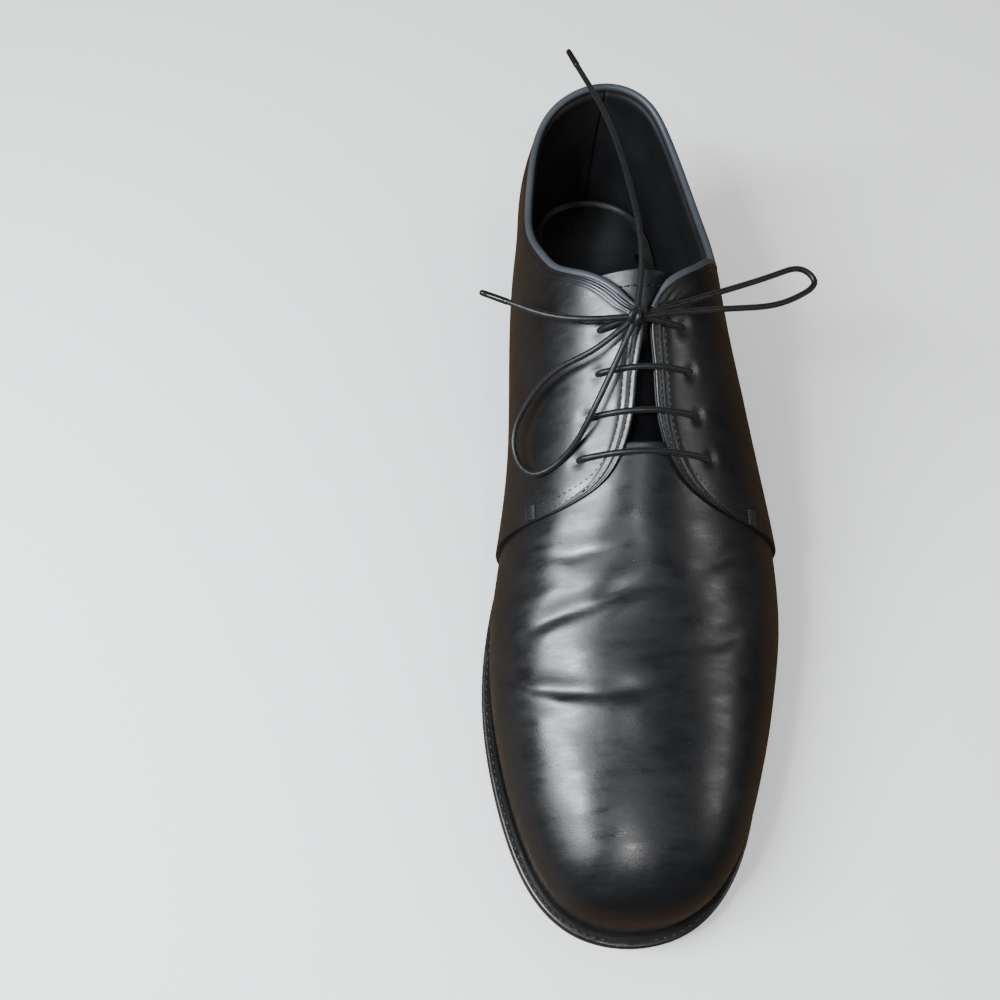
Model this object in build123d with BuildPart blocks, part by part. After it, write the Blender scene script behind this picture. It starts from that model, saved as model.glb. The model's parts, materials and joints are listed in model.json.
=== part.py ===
from build123d import *
from collections import namedtuple
from functools import partial
from math import cos, floor, radians, sin, tan
import os

os.makedirs("parts", exist_ok=True)

# Men's plain-toe derby shoe for the left foot: leather sole, stacked heel, open lacing
# over four pairs of blind eyelets, a thin round lace tied in a bow.
# Origin on the ground under the middle of the heel, +Z up, toe towards -Y, +X towards
# the outer (lateral) side of the foot. All lengths in millimetres, angles in degrees.

# ---- clearances and thicknesses
GAP = 0.2                # room left between neighbouring pieces
UPPER = 1.3              # upper leather
LINING = 1.0             # lining leather
STIFFENER = 1.2          # heel counter
PUFF = 0.7               # toe puff
SOCK = 1.2               # sock liner
OUTSOLE = 4.0            # outsole leather
FILLER = 1.0             # cork filler and steel shank layer
INSOLE = 2.1             # insole leather
WELT = 2.4               # welt strip

# ---- depths below the lasted edge (the feather) of the layers under the foot
INSOLE_TOP = GAP
FILLER_TOP = INSOLE_TOP + INSOLE + GAP
OUTSOLE_TOP = FILLER_TOP + FILLER + GAP
OUTSOLE_BOTTOM = OUTSOLE_TOP + OUTSOLE
WELT_TOP = OUTSOLE_TOP - GAP - WELT

# ---- outward offsets of the upper's layers from the lasted surface
PUFF_OUT = -UPPER - GAP
VAMP_LINING_OUT = PUFF_OUT - PUFF - GAP
COUNTER_OUT = -UPPER - GAP
QUARTER_FRONT_OUT = UPPER + GAP          # the quarters lie over the vamp in front
QUARTER_REAR_OUT = 0.0
QUARTER_LINING_FRONT_OUT = -GAP
QUARTER_LINING_REAR_OUT = COUNTER_OUT - STIFFENER - GAP
TONGUE_OUT = -4.6        # deep enough for the lace to run under the facings
BACK_STRIP = 1.0

# ---- sole, heel and flex line
WELT_MARGIN = 4.5        # welt width outside the feather round the forepart
WAIST_MARGIN = 2.2       # the same at the waist and round the heel
INSOLE_INSET = 0.4       # how far inside the feather each hidden layer stops
FILLER_INSET = 1.2
SOCK_INSET = 5.6
BREAST_Y = -28.0         # front face of the heel
HEEL_TAPER = 3.0         # the heel narrows towards the ground
TOP_PIECE = 6.0
LIFTS = 3
NAIL_RADIUS = 0.8
FLEX_Y = -158.0          # the sole bends across the ball of the foot here
FLEX_Z = 4.6
FLEX_HALF_ANGLE = 15.5   # half of the wedge left open above the flex line
TOE_REACH = 0.15         # stations left off at the very tip of the toe

# ---- lacing
CENTRE = 1.5             # x of the slit between the facings
LACE_RADIUS = 1.0
CORE_RADIUS = 0.6
HOLE_RADIUS = 1.5
LINING_HOLE_RADIUS = 1.9
EYELET_BARREL = 1.6
EYELET_BORE = 1.25
EYELET_FLANGE = 2.8
EYELET_SHEET = 0.3
EYELET_SEAT = 0.3        # the flange lies this far under the lining, clear of its curve
BINDING_RADIUS = 1.2
BINDING_CLEAR = 0.8      # room between the binding and the cut edges it covers
TACK_LENGTH, TACK_WIDTH, TACK_HEIGHT = 6.0, 1.4, 0.7
TACK_INSET, TACK_RISE = 2.5, 3.5         # from the front corner of the quarter
LACE_OVER = QUARTER_FRONT_OUT + 2.5 * GAP + LACE_RADIUS
LACE_UNDER = -3.2
BAR_REST = (0.75, 0.35)  # where a bar touches the facing, as shares of its reach
PASS_BEHIND, PASS_BEFORE = 3.2, -2.7     # room a hidden run keeps to an eyelet's axis
EYELET_ROWS = (          # y of the row, holes' distance from the slit: medial, lateral
    (-87.0, 14.5, 12.0),
    (-99.5, 15.0, 15.0),
    (-112.0, 18.0, 17.5),
    (-124.0, 21.0, 22.0),
)
KNOT = (-3.0, -89.0, 107.8)
KNOT_RADIUS = 3.4
ROOT = 4.4               # loops and ends start this far from the knot's centre
AGLET_LENGTH = 11.0
AGLET_RADIUS = 1.15
AGLET_SHIFT = 1.5        # the sleeve starts this far past the last free point of the cord
CORE_LENGTH = 9.0        # squeezed end of the cord inside the sleeve

SURFACE_TOLERANCE = 0.03
MEDIAL, LATERAL = -1, 1

# ---- the last: cross-sections from the middle of the heel (row 0) to the toe tip.
# y of the section, turn (0 faces the back, 90 faces the side), height of the feather,
# height of the spine, fullness of the side as a share of that height, middle x, and
# half-widths at the feather, the flank and the crown for each side of the foot.
Station = namedtuple(
    "Station",
    "y turn feather top bulge centre lat_foot lat_side lat_top med_foot med_side med_top",
)
LAST = (
    Station(0, 0, 30.0, 150, 0.40, -2, 32, 41, 25, 32, 41, 25),
    Station(0, 30, 30.0, 150, 0.40, -2, 32, 40, 21, 32, 40, 21),
    Station(0, 62, 30.0, 150, 0.40, -2, 31, 35, 12, 31, 43, 16),
    Station(-14, 86, 29.5, 148, 0.41, 0, 31, 37, 14, 30, 49, 14),
    Station(-40, 90, 27.0, 136, 0.43, 0, 32, 46, 21, 29, 58, 19),
    Station(-68, 90, 21.0, 114, 0.46, 1, 34, 51, 23, 29, 60, 22),
    Station(-96, 90, 14.0, 96, 0.50, 2, 38, 58, 23, 31, 58, 22),
    Station(-122, 90, 7.7, 82, 0.52, 2, 44, 66, 25, 36, 58, 24),
    Station(-146, 90, 7.7, 70, 0.55, 1, 49, 71, 27, 42, 59, 27),
    Station(-170, 90, 7.7, 61, 0.58, 0, 50, 69, 29, 46, 59, 29),
    Station(-194, 90, 7.7, 54, 0.62, -1, 48, 61, 30, 46, 54, 30),
    Station(-217, 90, 9.6, 49, 0.66, -2, 43, 52, 28, 42, 48, 28),
    Station(-238, 90, 12.2, 45, 0.70, -3, 37, 43, 25, 36, 40, 25),
    Station(-254, 90, 14.3, 41, 0.72, -4, 28, 32, 20, 28, 31, 20),
    Station(-264, 90, 15.3, 32, 0.72, -5, 16, 18, 12, 16, 17, 12),
    Station(-267, 90, 15.6, 15.6, 0.72, -5, 0, 0, 0, 0, 0, 0),
)
TIP = len(LAST) - 1

# ---- outlines of the upper, as distance from the slit and y, or as y and height
LATERAL_FACING = (
    (1.8, -84), (2.4, -98), (3.6, -111), (6.5, -122), (12, -131), (21, -137), (31, -140), (41, -141),
)
MEDIAL_FACING = (
    (1.8, -84), (2.4, -98), (3.6, -110), (6.5, -122), (12, -131), (20, -136), (29, -138.5), (38, -139),
)
LATERAL_FACING_TOP = ((31.6, -50), (25.4, -60), (19, -66.8), (12.1, -72.2), (5.5, -78))
MEDIAL_FACING_TOP = ((32.4, -54.8), (29.4, -60.7), (24.9, -65.6), (15.8, -72.4), (9.3, -78), (4.2, -82.4))
LATERAL_RIM = ((45, 97), (32, 94.5), (14, 88), (-14, 82.5), (-34, 82.5), (-50, 86.5), (-60, 96))
MEDIAL_RIM = ((45, 97), (32, 94.5), (14, 88.5), (-14, 84.5), (-34, 87), (-50, 94.5), (-60, 104))
BACK_SEAM_T = 0.005      # half the gap between the quarters at the back seam
FACING_SHARE = 0.64      # share of a quarter's edge that lies behind its facing
TONGUE_FRONT_Y, TONGUE_TOP_Y = -126.5, -72.0
TONGUE_FRONT_HALF, TONGUE_TOP_HALF = 21.0, 28.0
TONGUE_HOLLOW, TONGUE_CORNER = 4.5, 12.0     # dip in the middle of the top edge, rounding of its corners
PUFF_REAR_Y, PUFF_EDGE = -222.0, 0.92        # rear edge, and how far down the sides
COUNTER_REACH, COUNTER_TOP_Z = 3.6, 68.0     # stations forward from the back, height
STRIP_REACH, STRIP_TOP_Z = 0.26, 91.0
VAMP_REAR_Y = -127.5
VAMP_LINING_REAR_Y = -130.0
QUARTER_LINING_FRONT_Y = -126.5


# ---------------------------------------------------------------- the lasted surface
def control_row(k):
    """Row k of the last, mirrored past the heel's middle and past the toe tip."""
    if k < 0:
        row = LAST[-k]
        return row._replace(turn=-row.turn)
    if k <= TIP:
        return LAST[k]
    row = LAST[2 * TIP - k]
    flipped = Station(*row[:6], *[-width for width in row[6:]])
    return flipped._replace(top=2 * LAST[TIP].top - row.top)


def station(t):
    """Cross-section at t along the last, on a uniform cubic B-spline."""
    i = min(floor(t), TIP - 1)
    f = t - i
    weights = ((1 - f) ** 3, 3 * f**3 - 6 * f**2 + 4, -3 * f**3 + 3 * f**2 + 3 * f + 1, f**3)
    rows = [control_row(i + k) for k in (-1, 0, 1, 2)]
    return Station(*(sum(w * row[c] for w, row in zip(weights, rows)) / 6 for c in range(12)))


def last_point(t, v, side):
    """Point of the last at station t and share v of the way from feather to spine."""
    s = station(t)
    foot, flank, crown = s[6:9] if side > 0 else s[9:]
    b0, b1, b2, b3 = (1 - v) ** 3, 3 * v * (1 - v) ** 2, 3 * v * v * (1 - v), v**3
    reach = b0 * foot + b1 * flank + b2 * crown
    height = b0 * s.feather + b1 * (s.feather + s.bulge * (s.top - s.feather)) + (b2 + b3) * s.top
    turn = radians(s.turn)
    return Vector(s.centre + side * reach * sin(turn), s.y + reach * cos(turn), height)


def last_normal(t, v, side):
    """Outward unit normal of the last."""
    h = 0.001
    along = last_point(t + h, v, side) - last_point(t - h, v, side)
    upward = last_point(t, v + h, side) - last_point(t, v - h, side)
    return along.cross(upward).normalized() * -side


def layer_point(t, v, side, out):
    """Point pushed out of the lasted surface along its normal."""
    return last_point(t, v, side) + last_normal(t, v, side) * out


def solve(value, low, high):
    """Root of an increasing function between low and high."""
    for _ in range(36):
        middle = (low + high) / 2
        if value(middle) < 0:
            low = middle
        else:
            high = middle
    return (low + high) / 2


def t_at(y):
    """Station whose section lies at y, forward of the heel."""
    return solve(lambda t: y - station(t).y, 3.5, TIP)


def v_at_height(t, side, z):
    """Share v at which the section reaches height z."""
    return solve(lambda v: last_point(t, v, side).Z - z, 0.0, 1.0)


def spot(distance, y, side):
    """(t, v) of the place on the upper half at this distance from the slit."""
    t = t_at(y)
    x = CENTRE + side * distance
    return t, solve(lambda v: side * (x - last_point(t, v, side).X), 0.35, 1.0)


def ramp(y, front_y, front, rear_y, rear):
    """Smooth change from one value in front of front_y to another behind rear_y."""
    f = min(max((y - front_y) / (rear_y - front_y), 0.0), 1.0)
    return front + (rear - front) * f * f * (3 - 2 * f)


def quarter_out(y):
    return ramp(y, -95, QUARTER_FRONT_OUT, -45, QUARTER_REAR_OUT)


def quarter_lining_out(y):
    return ramp(y, -95, QUARTER_LINING_FRONT_OUT, -40, QUARTER_LINING_REAR_OUT)


def spread(start, stop, count):
    """Evenly spaced values, ends included."""
    return [start + (stop - start) * k / (count - 1) for k in range(count)]


# ---------------------------------------------------------------- leather sheets
def leather(rows_at, out, thickness):
    """Leather sheet: outer face, inner face and the ruled walls round its edges.

    rows_at gives the rows of points of the layer at an offset from the last.
    """
    outer = Face.make_surface_from_array_of_points(rows_at(out), tol=SURFACE_TOLERANCE)
    inner = Face.make_surface_from_array_of_points(rows_at(out - thickness), tol=SURFACE_TOLERANCE)
    walls = []
    for edge in outer.edges():
        partner = min(inner.edges(), key=lambda other: (other.center() - edge.center()).length)
        walls.append(Face.make_surface_from_curves(edge, partner))
    return Solid(Shell([outer, inner, *walls]))


def wedge_t(v, side, out, way):
    """Station where a layer meets the open wedge over the flex line; way is -1 in front of it."""
    slope = tan(radians(FLEX_HALF_ANGLE))

    def beyond(t):
        p = layer_point(t, v, side, out)
        return FLEX_Y + way * (GAP + (p.Z - FLEX_Z) * slope) - p.Y

    return solve(beyond, 7.0, 11.5)


def front_rows(start, end, edge, out, rows=18, columns=21):
    """Points of a sheet over the spine, from side to side and from start to end.

    Either end is a station, or the word "wedge" for the open wedge over the flex line.
    """
    grid = []
    for s in spread(-edge, edge, columns):
        v, side = 1 - abs(s), LATERAL if s > 0 else MEDIAL
        first = wedge_t(v, side, out, -1) if start == "wedge" else start
        last = wedge_t(v, side, out, 1) if end == "wedge" else end
        stops = [first + (last - first) * f for f in spread(0, 1, rows)]
        grid.append([layer_point(t, v, side, out) for t in stops])
    return grid


def rim_line(side):
    """Top line of one quarter in side view."""
    with BuildLine(mode=Mode.PRIVATE) as line:
        Spline(*(LATERAL_RIM if side > 0 else MEDIAL_RIM))
    return line.line


def edge_places(side, front_y):
    """(t, v) places along one quarter's edge: top line, facing top, facing, to front_y."""
    rim = rim_line(side)

    def over_rim(t, v):
        p = last_point(t, v, side)
        return p.Z - (rim @ solve(lambda f: p.Y - (rim @ f).X, 0, 1)).Y

    places = [(t, solve(lambda v: over_rim(t, v), 0.2, 0.9)) for t in spread(BACK_SEAM_T, t_at(-42), 9)]
    facing_top = LATERAL_FACING_TOP if side > 0 else MEDIAL_FACING_TOP
    facing = LATERAL_FACING if side > 0 else MEDIAL_FACING
    places += [spot(x, y, side) for x, y in facing_top + facing if y >= front_y]
    return places


def quarter_rows(side, front_y, out_at, out):
    """Points of one side's sheet, from the back seam forward and from feather to edge."""
    scale = 0.2
    with BuildLine(mode=Mode.PRIVATE) as flat:
        Spline(*[(t * scale, v) for t, v in edge_places(side, front_y)])
    front_t = t_at(front_y)
    grid = []
    for f in spread(0, 1, 56):
        place = flat.line @ f
        edge_t, edge_v = min(place.X / scale, front_t), place.Y
        share = max(f - FACING_SHARE, 0) / (1 - FACING_SHARE)
        foot_t = edge_t + (front_t - edge_t) * share * share
        levels = spread(0, 1, 14)
        row = []
        for level in levels if side < 0 else levels[::-1]:
            t, v = foot_t + (edge_t - foot_t) * level, edge_v * level
            row.append(layer_point(t, v, side, out_at(last_point(t, v, side).Y) + out))
        grid.append(row)
    return grid


def heel_rows(reach, low_z, high_z, out, columns=8):
    """Points of a sheet that wraps round the back of the heel."""
    grid = []
    for u in spread(-reach, reach, 31):
        t, side = abs(u), LATERAL if u > 0 else MEDIAL
        v_low, v_high = v_at_height(t, side, low_z), v_at_height(t, side, high_z)
        grid.append([layer_point(t, v, side, out) for v in spread(v_high, v_low, columns)])
    return grid


def tongue_rows(front_y, out):
    """Points of the tongue, which widens upwards and has rounded top corners."""
    columns = []
    for s in spread(-1, 1, 17):
        side = LATERAL if s > 0 else MEDIAL
        end_y = TONGUE_TOP_Y + TONGUE_HOLLOW * s**2 - TONGUE_CORNER * s**10
        column = []
        for y in spread(front_y, end_y, 10):
            half = ramp(y, front_y, TONGUE_FRONT_HALF, TONGUE_TOP_Y, TONGUE_TOP_HALF)
            t, v = spot(abs(s) * half - side * (CENTRE - station(t_at(y)).centre), y, side)
            column.append(layer_point(t, v, side, TONGUE_OUT + out))
        columns.append(column)
    return columns


def wedge_plane(forepart):
    """Face of the open wedge over the flex line; its normal points to the kept piece."""
    way = -1 if forepart else 1
    angle = radians(FLEX_HALF_ANGLE)
    return Plane(
        origin=(0, FLEX_Y + way * GAP, FLEX_Z),
        x_dir=(1, 0, 0),
        z_dir=(0, way * cos(angle), -sin(angle)),
    )


def save(piece, name):
    """Labels a finished piece and writes it as its own file."""
    piece.part.label = name
    export_step(piece.part, f"parts/{name}.step")


# ---------------------------------------------------------------- sole pieces
FEATHER_T = spread(0, TIP - TOE_REACH, 20)


def margin_at(y):
    """Width of the welt outside the feather."""
    return ramp(y, -150, WELT_MARGIN, -95, WAIST_MARGIN)


def outline(out_at):
    """Plan outline at a distance outside the feather line, which may change with y."""
    points = []
    for side in (LATERAL, MEDIAL):
        half = []
        for t in FEATHER_T[1:] if side > 0 else FEATHER_T:
            p = last_point(t, 0, side)
            ahead = last_point(t + 0.01, 0, side) - last_point(t - 0.01, 0, side)
            across = Vector(-side * ahead.Y, side * ahead.X, 0).normalized()
            half.append(p + across * out_at(p.Y))
        points += half if side > 0 else half[::-1]
    return [(p.X, p.Y) for p in points]


def plan_face(points):
    """Face inside a closed smooth outline."""
    with BuildSketch(mode=Mode.PRIVATE) as sketch:
        with BuildLine():
            Spline(*points, periodic=True)
        make_face()
    return sketch.sketch


def feather_height(y):
    """Height of the feather line at y, level behind the heel and beyond the toe."""
    t = solve(lambda t: y - last_point(t, 0, LATERAL).Y, 0, TIP)
    return station(t).feather


def layer_band(top_depth, bottom_depth):
    """Layer between two depths below the feather, as a prism across the whole sole."""
    places = [(y, feather_height(y)) for y in spread(-290, 50, 35)]
    top = [(y, z - top_depth) for y, z in places]
    bottom = [(y, z - bottom_depth) for y, z in places]
    with BuildPart(mode=Mode.PRIVATE) as band:
        with BuildSketch(Plane.YZ):
            with BuildLine():
                Spline(*top)
                Spline(*bottom)
                Line(top[0], bottom[0])
                Line(top[-1], bottom[-1])
            make_face()
        extrude(amount=80, both=True)
    return band.part


def sole_layer(face, top_depth, bottom_depth):
    """Sole layer with the plan of face, between two depths below the feather."""
    with BuildPart(mode=Mode.PRIVATE) as layer:
        add(face)
        extrude(amount=60)
        add(layer_band(top_depth, bottom_depth), mode=Mode.INTERSECT)
    return layer.part


def flex_halves(layer, name, flat=False):
    """Writes the forepart and the rear piece of a layer, parted at the flex line."""
    for forepart in (True, False):
        way = -1 if forepart else 1
        upright = Plane(origin=(0, FLEX_Y + way * GAP, 0), x_dir=(1, 0, 0), z_dir=(0, way, 0))
        with BuildPart() as half:
            add(layer)
            split(bisect_by=upright if flat else wedge_plane(forepart), keep=Keep.TOP)
        save(half, f"{name}_{'forepart' if forepart else 'rear'}")


sole_face = plan_face(outline(margin_at))
feather_face = plan_face(outline(lambda y: GAP / 2))
insole_face = plan_face(outline(lambda y: -INSOLE_INSET))
filler_face = plan_face(outline(lambda y: -FILLER_INSET))
sock_face = plan_face(outline(lambda y: -SOCK_INSET))

flex_halves(sole_layer(sole_face, OUTSOLE_TOP, OUTSOLE_BOTTOM), "outsole", flat=True)

with BuildPart(mode=Mode.PRIVATE) as welt_ring:
    add(sole_layer(sole_face, WELT_TOP, OUTSOLE_TOP - GAP))
    add(sole_layer(feather_face, 0, OUTSOLE_TOP), mode=Mode.SUBTRACT)
flex_halves(welt_ring.part, "welt")

flex_halves(sole_layer(insole_face, INSOLE_TOP, INSOLE_TOP + INSOLE), "insole")
flex_halves(sole_layer(sock_face, -SOCK, 0), "sock_liner")

# spring steel shank in a slot of the filler, from under the heel seat to the ball
SHANK_WIDTH, SHANK_FRONT, SHANK_REAR = 13.0, -128.0, -22.0
shank_middle = (SHANK_FRONT + SHANK_REAR) / 2
with BuildSketch(mode=Mode.PRIVATE) as shank_plan:
    with Locations((0, shank_middle)):
        SlotOverall(SHANK_REAR - SHANK_FRONT, SHANK_WIDTH, rotation=90)
with BuildSketch(mode=Mode.PRIVATE) as slot_plan:
    with Locations((0, shank_middle)):
        SlotOverall(SHANK_REAR - SHANK_FRONT + 1, SHANK_WIDTH + 1, rotation=90)

with BuildPart() as shank:
    add(sole_layer(shank_plan.sketch, FILLER_TOP, FILLER_TOP + FILLER))
save(shank, "shank")

with BuildPart(mode=Mode.PRIVATE) as filler:
    add(sole_layer(filler_face, FILLER_TOP, FILLER_TOP + FILLER))
    add(sole_layer(slot_plan.sketch, 0, OUTSOLE_TOP), mode=Mode.SUBTRACT)
flex_halves(filler.part, "cork_filler")

# ---------------------------------------------------------------- stacked heel
HEEL_SEAT_Z = LAST[0].feather - OUTSOLE_BOTTOM
LIFT = (HEEL_SEAT_Z - TOP_PIECE) / LIFTS
NAIL_SHARE = 0.74        # nails stand this share of the way out to the feather
NAIL_SPOTS = [
    (last_point(t, 0, side).X * NAIL_SHARE, last_point(t, 0, side).Y * NAIL_SHARE)
    for t, side in ((0, LATERAL), (1.2, LATERAL), (2.3, LATERAL), (1.2, MEDIAL), (2.3, MEDIAL))
] + [(20, -20), (-19, -20)]
NAIL_BOTTOM = 1.5
NAIL_TOP = TOP_PIECE + 2 * LIFT - 1.0


def heel_layer(low_z, high_z):
    """One layer of the heel, smaller the nearer it lies to the ground, square at the breast."""
    inset = (HEEL_SEAT_Z - (low_z + high_z) / 2) * tan(radians(HEEL_TAPER))
    with BuildPart(mode=Mode.PRIVATE) as layer:
        with BuildSketch(Plane.XY.offset(low_z)):
            add(plan_face(outline(lambda y: margin_at(y) - inset)))
        extrude(amount=high_z - low_z)
        breast = Plane(origin=(0, BREAST_Y, 0), x_dir=(1, 0, 0), z_dir=(0, 1, 0))
        split(bisect_by=breast, keep=Keep.TOP)
    return layer.part


HEEL_STACK = (
    ("heel_top_piece", 0.0, TOP_PIECE),
    ("heel_lift_lower", TOP_PIECE, TOP_PIECE + LIFT),
    ("heel_lift_middle", TOP_PIECE + LIFT, TOP_PIECE + 2 * LIFT),
    ("heel_lift_upper", TOP_PIECE + 2 * LIFT, HEEL_SEAT_Z),
)
for name, low, high in HEEL_STACK:
    with BuildPart() as heel_piece:
        if name == "heel_lift_upper":
            add(heel_layer(low, HEEL_SEAT_Z))
            add(layer_band(OUTSOLE_BOTTOM + GAP, 60), mode=Mode.INTERSECT)
        else:
            add(heel_layer(low, high - GAP))
        with BuildSketch(Plane.XY.offset(NAIL_BOTTOM - GAP)):
            with Locations(*NAIL_SPOTS):
                Circle(NAIL_RADIUS + GAP)
        extrude(amount=NAIL_TOP + GAP - NAIL_BOTTOM + GAP, mode=Mode.SUBTRACT)
    save(heel_piece, name)

with BuildPart() as heel_nails:
    with BuildSketch(Plane.XY.offset(NAIL_BOTTOM)):
        with Locations(*NAIL_SPOTS):
            Circle(NAIL_RADIUS)
    extrude(amount=NAIL_TOP - NAIL_BOTTOM)
save(heel_nails, "heel_nails")

# ---------------------------------------------------------------- vamp and its layers
TOE_T = TIP - TOE_REACH


def front_layer(name, rear_y, toe_t, out, thickness):
    """Writes the forepart and the rear sheet of a layer that wraps over the spine."""
    for part_name, start, end in (("forepart", "wedge", toe_t), ("rear", t_at(rear_y), "wedge")):
        with BuildPart() as piece:
            add(leather(partial(front_rows, start, end, 1), out, thickness))
        save(piece, f"{name}_{part_name}")


front_layer("vamp", VAMP_REAR_Y, TOE_T, 0, UPPER)
front_layer("vamp_lining", VAMP_LINING_REAR_Y, TOE_T - 0.1, VAMP_LINING_OUT, LINING)

with BuildPart() as toe_puff:
    add(leather(partial(front_rows, t_at(PUFF_REAR_Y), TOE_T - 0.05, PUFF_EDGE), PUFF_OUT, PUFF))
save(toe_puff, "toe_puff")

# ---------------------------------------------------------------- tongue
with BuildPart() as tongue:
    add(leather(partial(tongue_rows, TONGUE_FRONT_Y), 0, STIFFENER))
save(tongue, "tongue")

with BuildPart() as tongue_lining:
    add(leather(partial(tongue_rows, TONGUE_FRONT_Y + 2), -STIFFENER - GAP, LINING))
save(tongue_lining, "tongue_lining")


# ---------------------------------------------------------------- quarters
def eyelet_plane(row, side, out):
    """Plane square to the leather at one eyelet."""
    y, medial, lateral = EYELET_ROWS[row]
    t, v = spot(lateral if side > 0 else medial, y, side)
    return Plane(origin=layer_point(t, v, side, out), z_dir=last_normal(t, v, side))


def punch(side, radius):
    """The four holes of one facing, as pins to be cut away."""
    with BuildPart(mode=Mode.PRIVATE) as pins:
        for row in range(len(EYELET_ROWS)):
            with BuildSketch(eyelet_plane(row, side, -3)):
                Circle(radius)
            extrude(amount=8)
    return pins.part


for side, hand in ((LATERAL, "lateral"), (MEDIAL, "medial")):
    corner_y = (LATERAL_FACING if side > 0 else MEDIAL_FACING)[-1][1]
    with BuildPart() as quarter:
        add(leather(partial(quarter_rows, side, corner_y, quarter_out), 0, UPPER))
        add(punch(side, HOLE_RADIUS), mode=Mode.SUBTRACT)
    save(quarter, f"quarter_{hand}")

    with BuildPart() as quarter_lining:
        rows_at = partial(quarter_rows, side, QUARTER_LINING_FRONT_Y, quarter_lining_out)
        add(leather(rows_at, 0, LINING))
        add(punch(side, LINING_HOLE_RADIUS), mode=Mode.SUBTRACT)
    save(quarter_lining, f"quarter_lining_{hand}")

with BuildPart() as heel_counter:
    rows_at = partial(heel_rows, COUNTER_REACH, LAST[0].feather + 1.5, COUNTER_TOP_Z)
    add(leather(rows_at, COUNTER_OUT, STIFFENER))
save(heel_counter, "heel_counter")

with BuildPart() as back_strip:
    rows_at = partial(heel_rows, STRIP_REACH, LAST[0].feather + 1.0, STRIP_TOP_Z)
    add(leather(rows_at, BACK_STRIP + GAP, BACK_STRIP))
save(back_strip, "back_strip")

# ---------------------------------------------------------------- top line binding
def rim_points(side):
    """Points and normals along one side's top line, midway through the leather."""
    points = []
    for t, v in edge_places(side, LATERAL_FACING[0][1]):
        y = last_point(t, v, side).Y
        out = (quarter_out(y) + quarter_lining_out(y) - LINING) / 2
        points.append((layer_point(t, v, side, out), last_normal(t, v, side)))
    return points


def bead_line(side):
    """Centre line of the binding bead, just clear of the cut edge."""
    points = rim_points(side)
    line = []
    for i, (point, normal) in enumerate(points):
        ahead = points[min(i + 1, len(points) - 1)][0] - points[max(i - 1, 0)][0]
        outwards = normal.cross(ahead).normalized()
        if outwards.dot(Vector(-side, 0.5, 1)) < 0:
            outwards = outwards * -1
        line.append(point + outwards * (BINDING_RADIUS + BINDING_CLEAR))
    return line


def cord(points, radius, smooth=True):
    """Round cord of one radius along its centre line."""
    with BuildPart(mode=Mode.PRIVATE) as tube:
        with BuildLine() as path:
            if smooth:
                Spline(*points)
            else:
                Polyline(*points)
        with BuildSketch(Plane(origin=path.line @ 0, z_dir=path.line % 0)):
            Circle(radius)
        sweep(transition=Transition.TRANSFORMED if smooth else Transition.RIGHT)
    return tube.part


with BuildPart() as topline_binding:
    add(cord(bead_line(MEDIAL)[:0:-1] + bead_line(LATERAL), BINDING_RADIUS))
save(topline_binding, "topline_binding")


# ---------------------------------------------------------------- eyelets and bar tacks
for side, hand in ((LATERAL, "lateral"), (MEDIAL, "medial")):
    with BuildPart() as eyelets:
        for row in range(len(EYELET_ROWS)):
            base = QUARTER_LINING_FRONT_OUT - LINING - EYELET_SEAT
            with BuildSketch(eyelet_plane(row, side, base)):
                Circle(EYELET_FLANGE)
                Circle(EYELET_BORE, mode=Mode.SUBTRACT)
            extrude(amount=-EYELET_SHEET)
            with BuildSketch(eyelet_plane(row, side, base)):
                Circle(EYELET_BARREL)
                Circle(EYELET_BORE, mode=Mode.SUBTRACT)
            extrude(amount=LINING + EYELET_SEAT)
    save(eyelets, f"blind_eyelets_{hand}")

    corner = (LATERAL_FACING if side > 0 else MEDIAL_FACING)[-1]
    t, v = spot(corner[0] - TACK_INSET, corner[1] + TACK_RISE, side)
    base = layer_point(t, v, side, QUARTER_FRONT_OUT + 2 * GAP)
    seat = Plane(origin=base, x_dir=(0, 1, 0), z_dir=last_normal(t, v, side))
    with BuildPart() as corner_tack:
        with BuildSketch(seat):
            SlotOverall(TACK_LENGTH, TACK_WIDTH)
        extrude(amount=TACK_HEIGHT)
    save(corner_tack, f"corner_tack_{hand}")


# ---------------------------------------------------------------- the lace
def lace_hole(row, side, out):
    """Point on the axis of one eyelet."""
    return eyelet_plane(row, side, out).origin


def bar_points(row, sides):
    """Straight bar across one row, from hole to hole over both facing edges."""
    points = []
    for side in sides:
        y, medial, lateral = EYELET_ROWS[row]
        reach = lateral if side > 0 else medial
        near = [spot(reach * share, y, side) for share in BAR_REST]
        over = [layer_point(t, v, side, LACE_OVER) for t, v in near]
        leg = [lace_hole(row, side, LACE_UNDER), lace_hole(row, side, LACE_OVER), *over]
        points += leg if side == sides[0] else leg[::-1]
    return points


def pass_by(row, side, shift):
    """Point beside one hole under the facing, where a run passes another lace end."""
    y, medial, lateral = EYELET_ROWS[row]
    t, v = spot((lateral if side > 0 else medial) + shift, y, side)
    return layer_point(t, v, side, LACE_UNDER)


def towards_knot(row, side):
    """End of a strand where it enters the knot."""
    hole = lace_hole(row, side, LACE_OVER)
    way = (Vector(*KNOT) - hole).normalized()
    return [lace_hole(row, side, LACE_UNDER), hole, Vector(*KNOT) - way * (KNOT_RADIUS + GAP)]


strand_medial = bar_points(3, (LATERAL, MEDIAL)) + bar_points(2, (MEDIAL, LATERAL))
strand_medial += [pass_by(1, LATERAL, PASS_BEHIND)] + towards_knot(0, LATERAL)
strand_lateral = bar_points(1, (LATERAL, MEDIAL)) + towards_knot(0, MEDIAL)
strand_crossing = [pass_by(row, LATERAL, PASS_BEFORE) for row in (3, 2, 1)]

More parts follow.
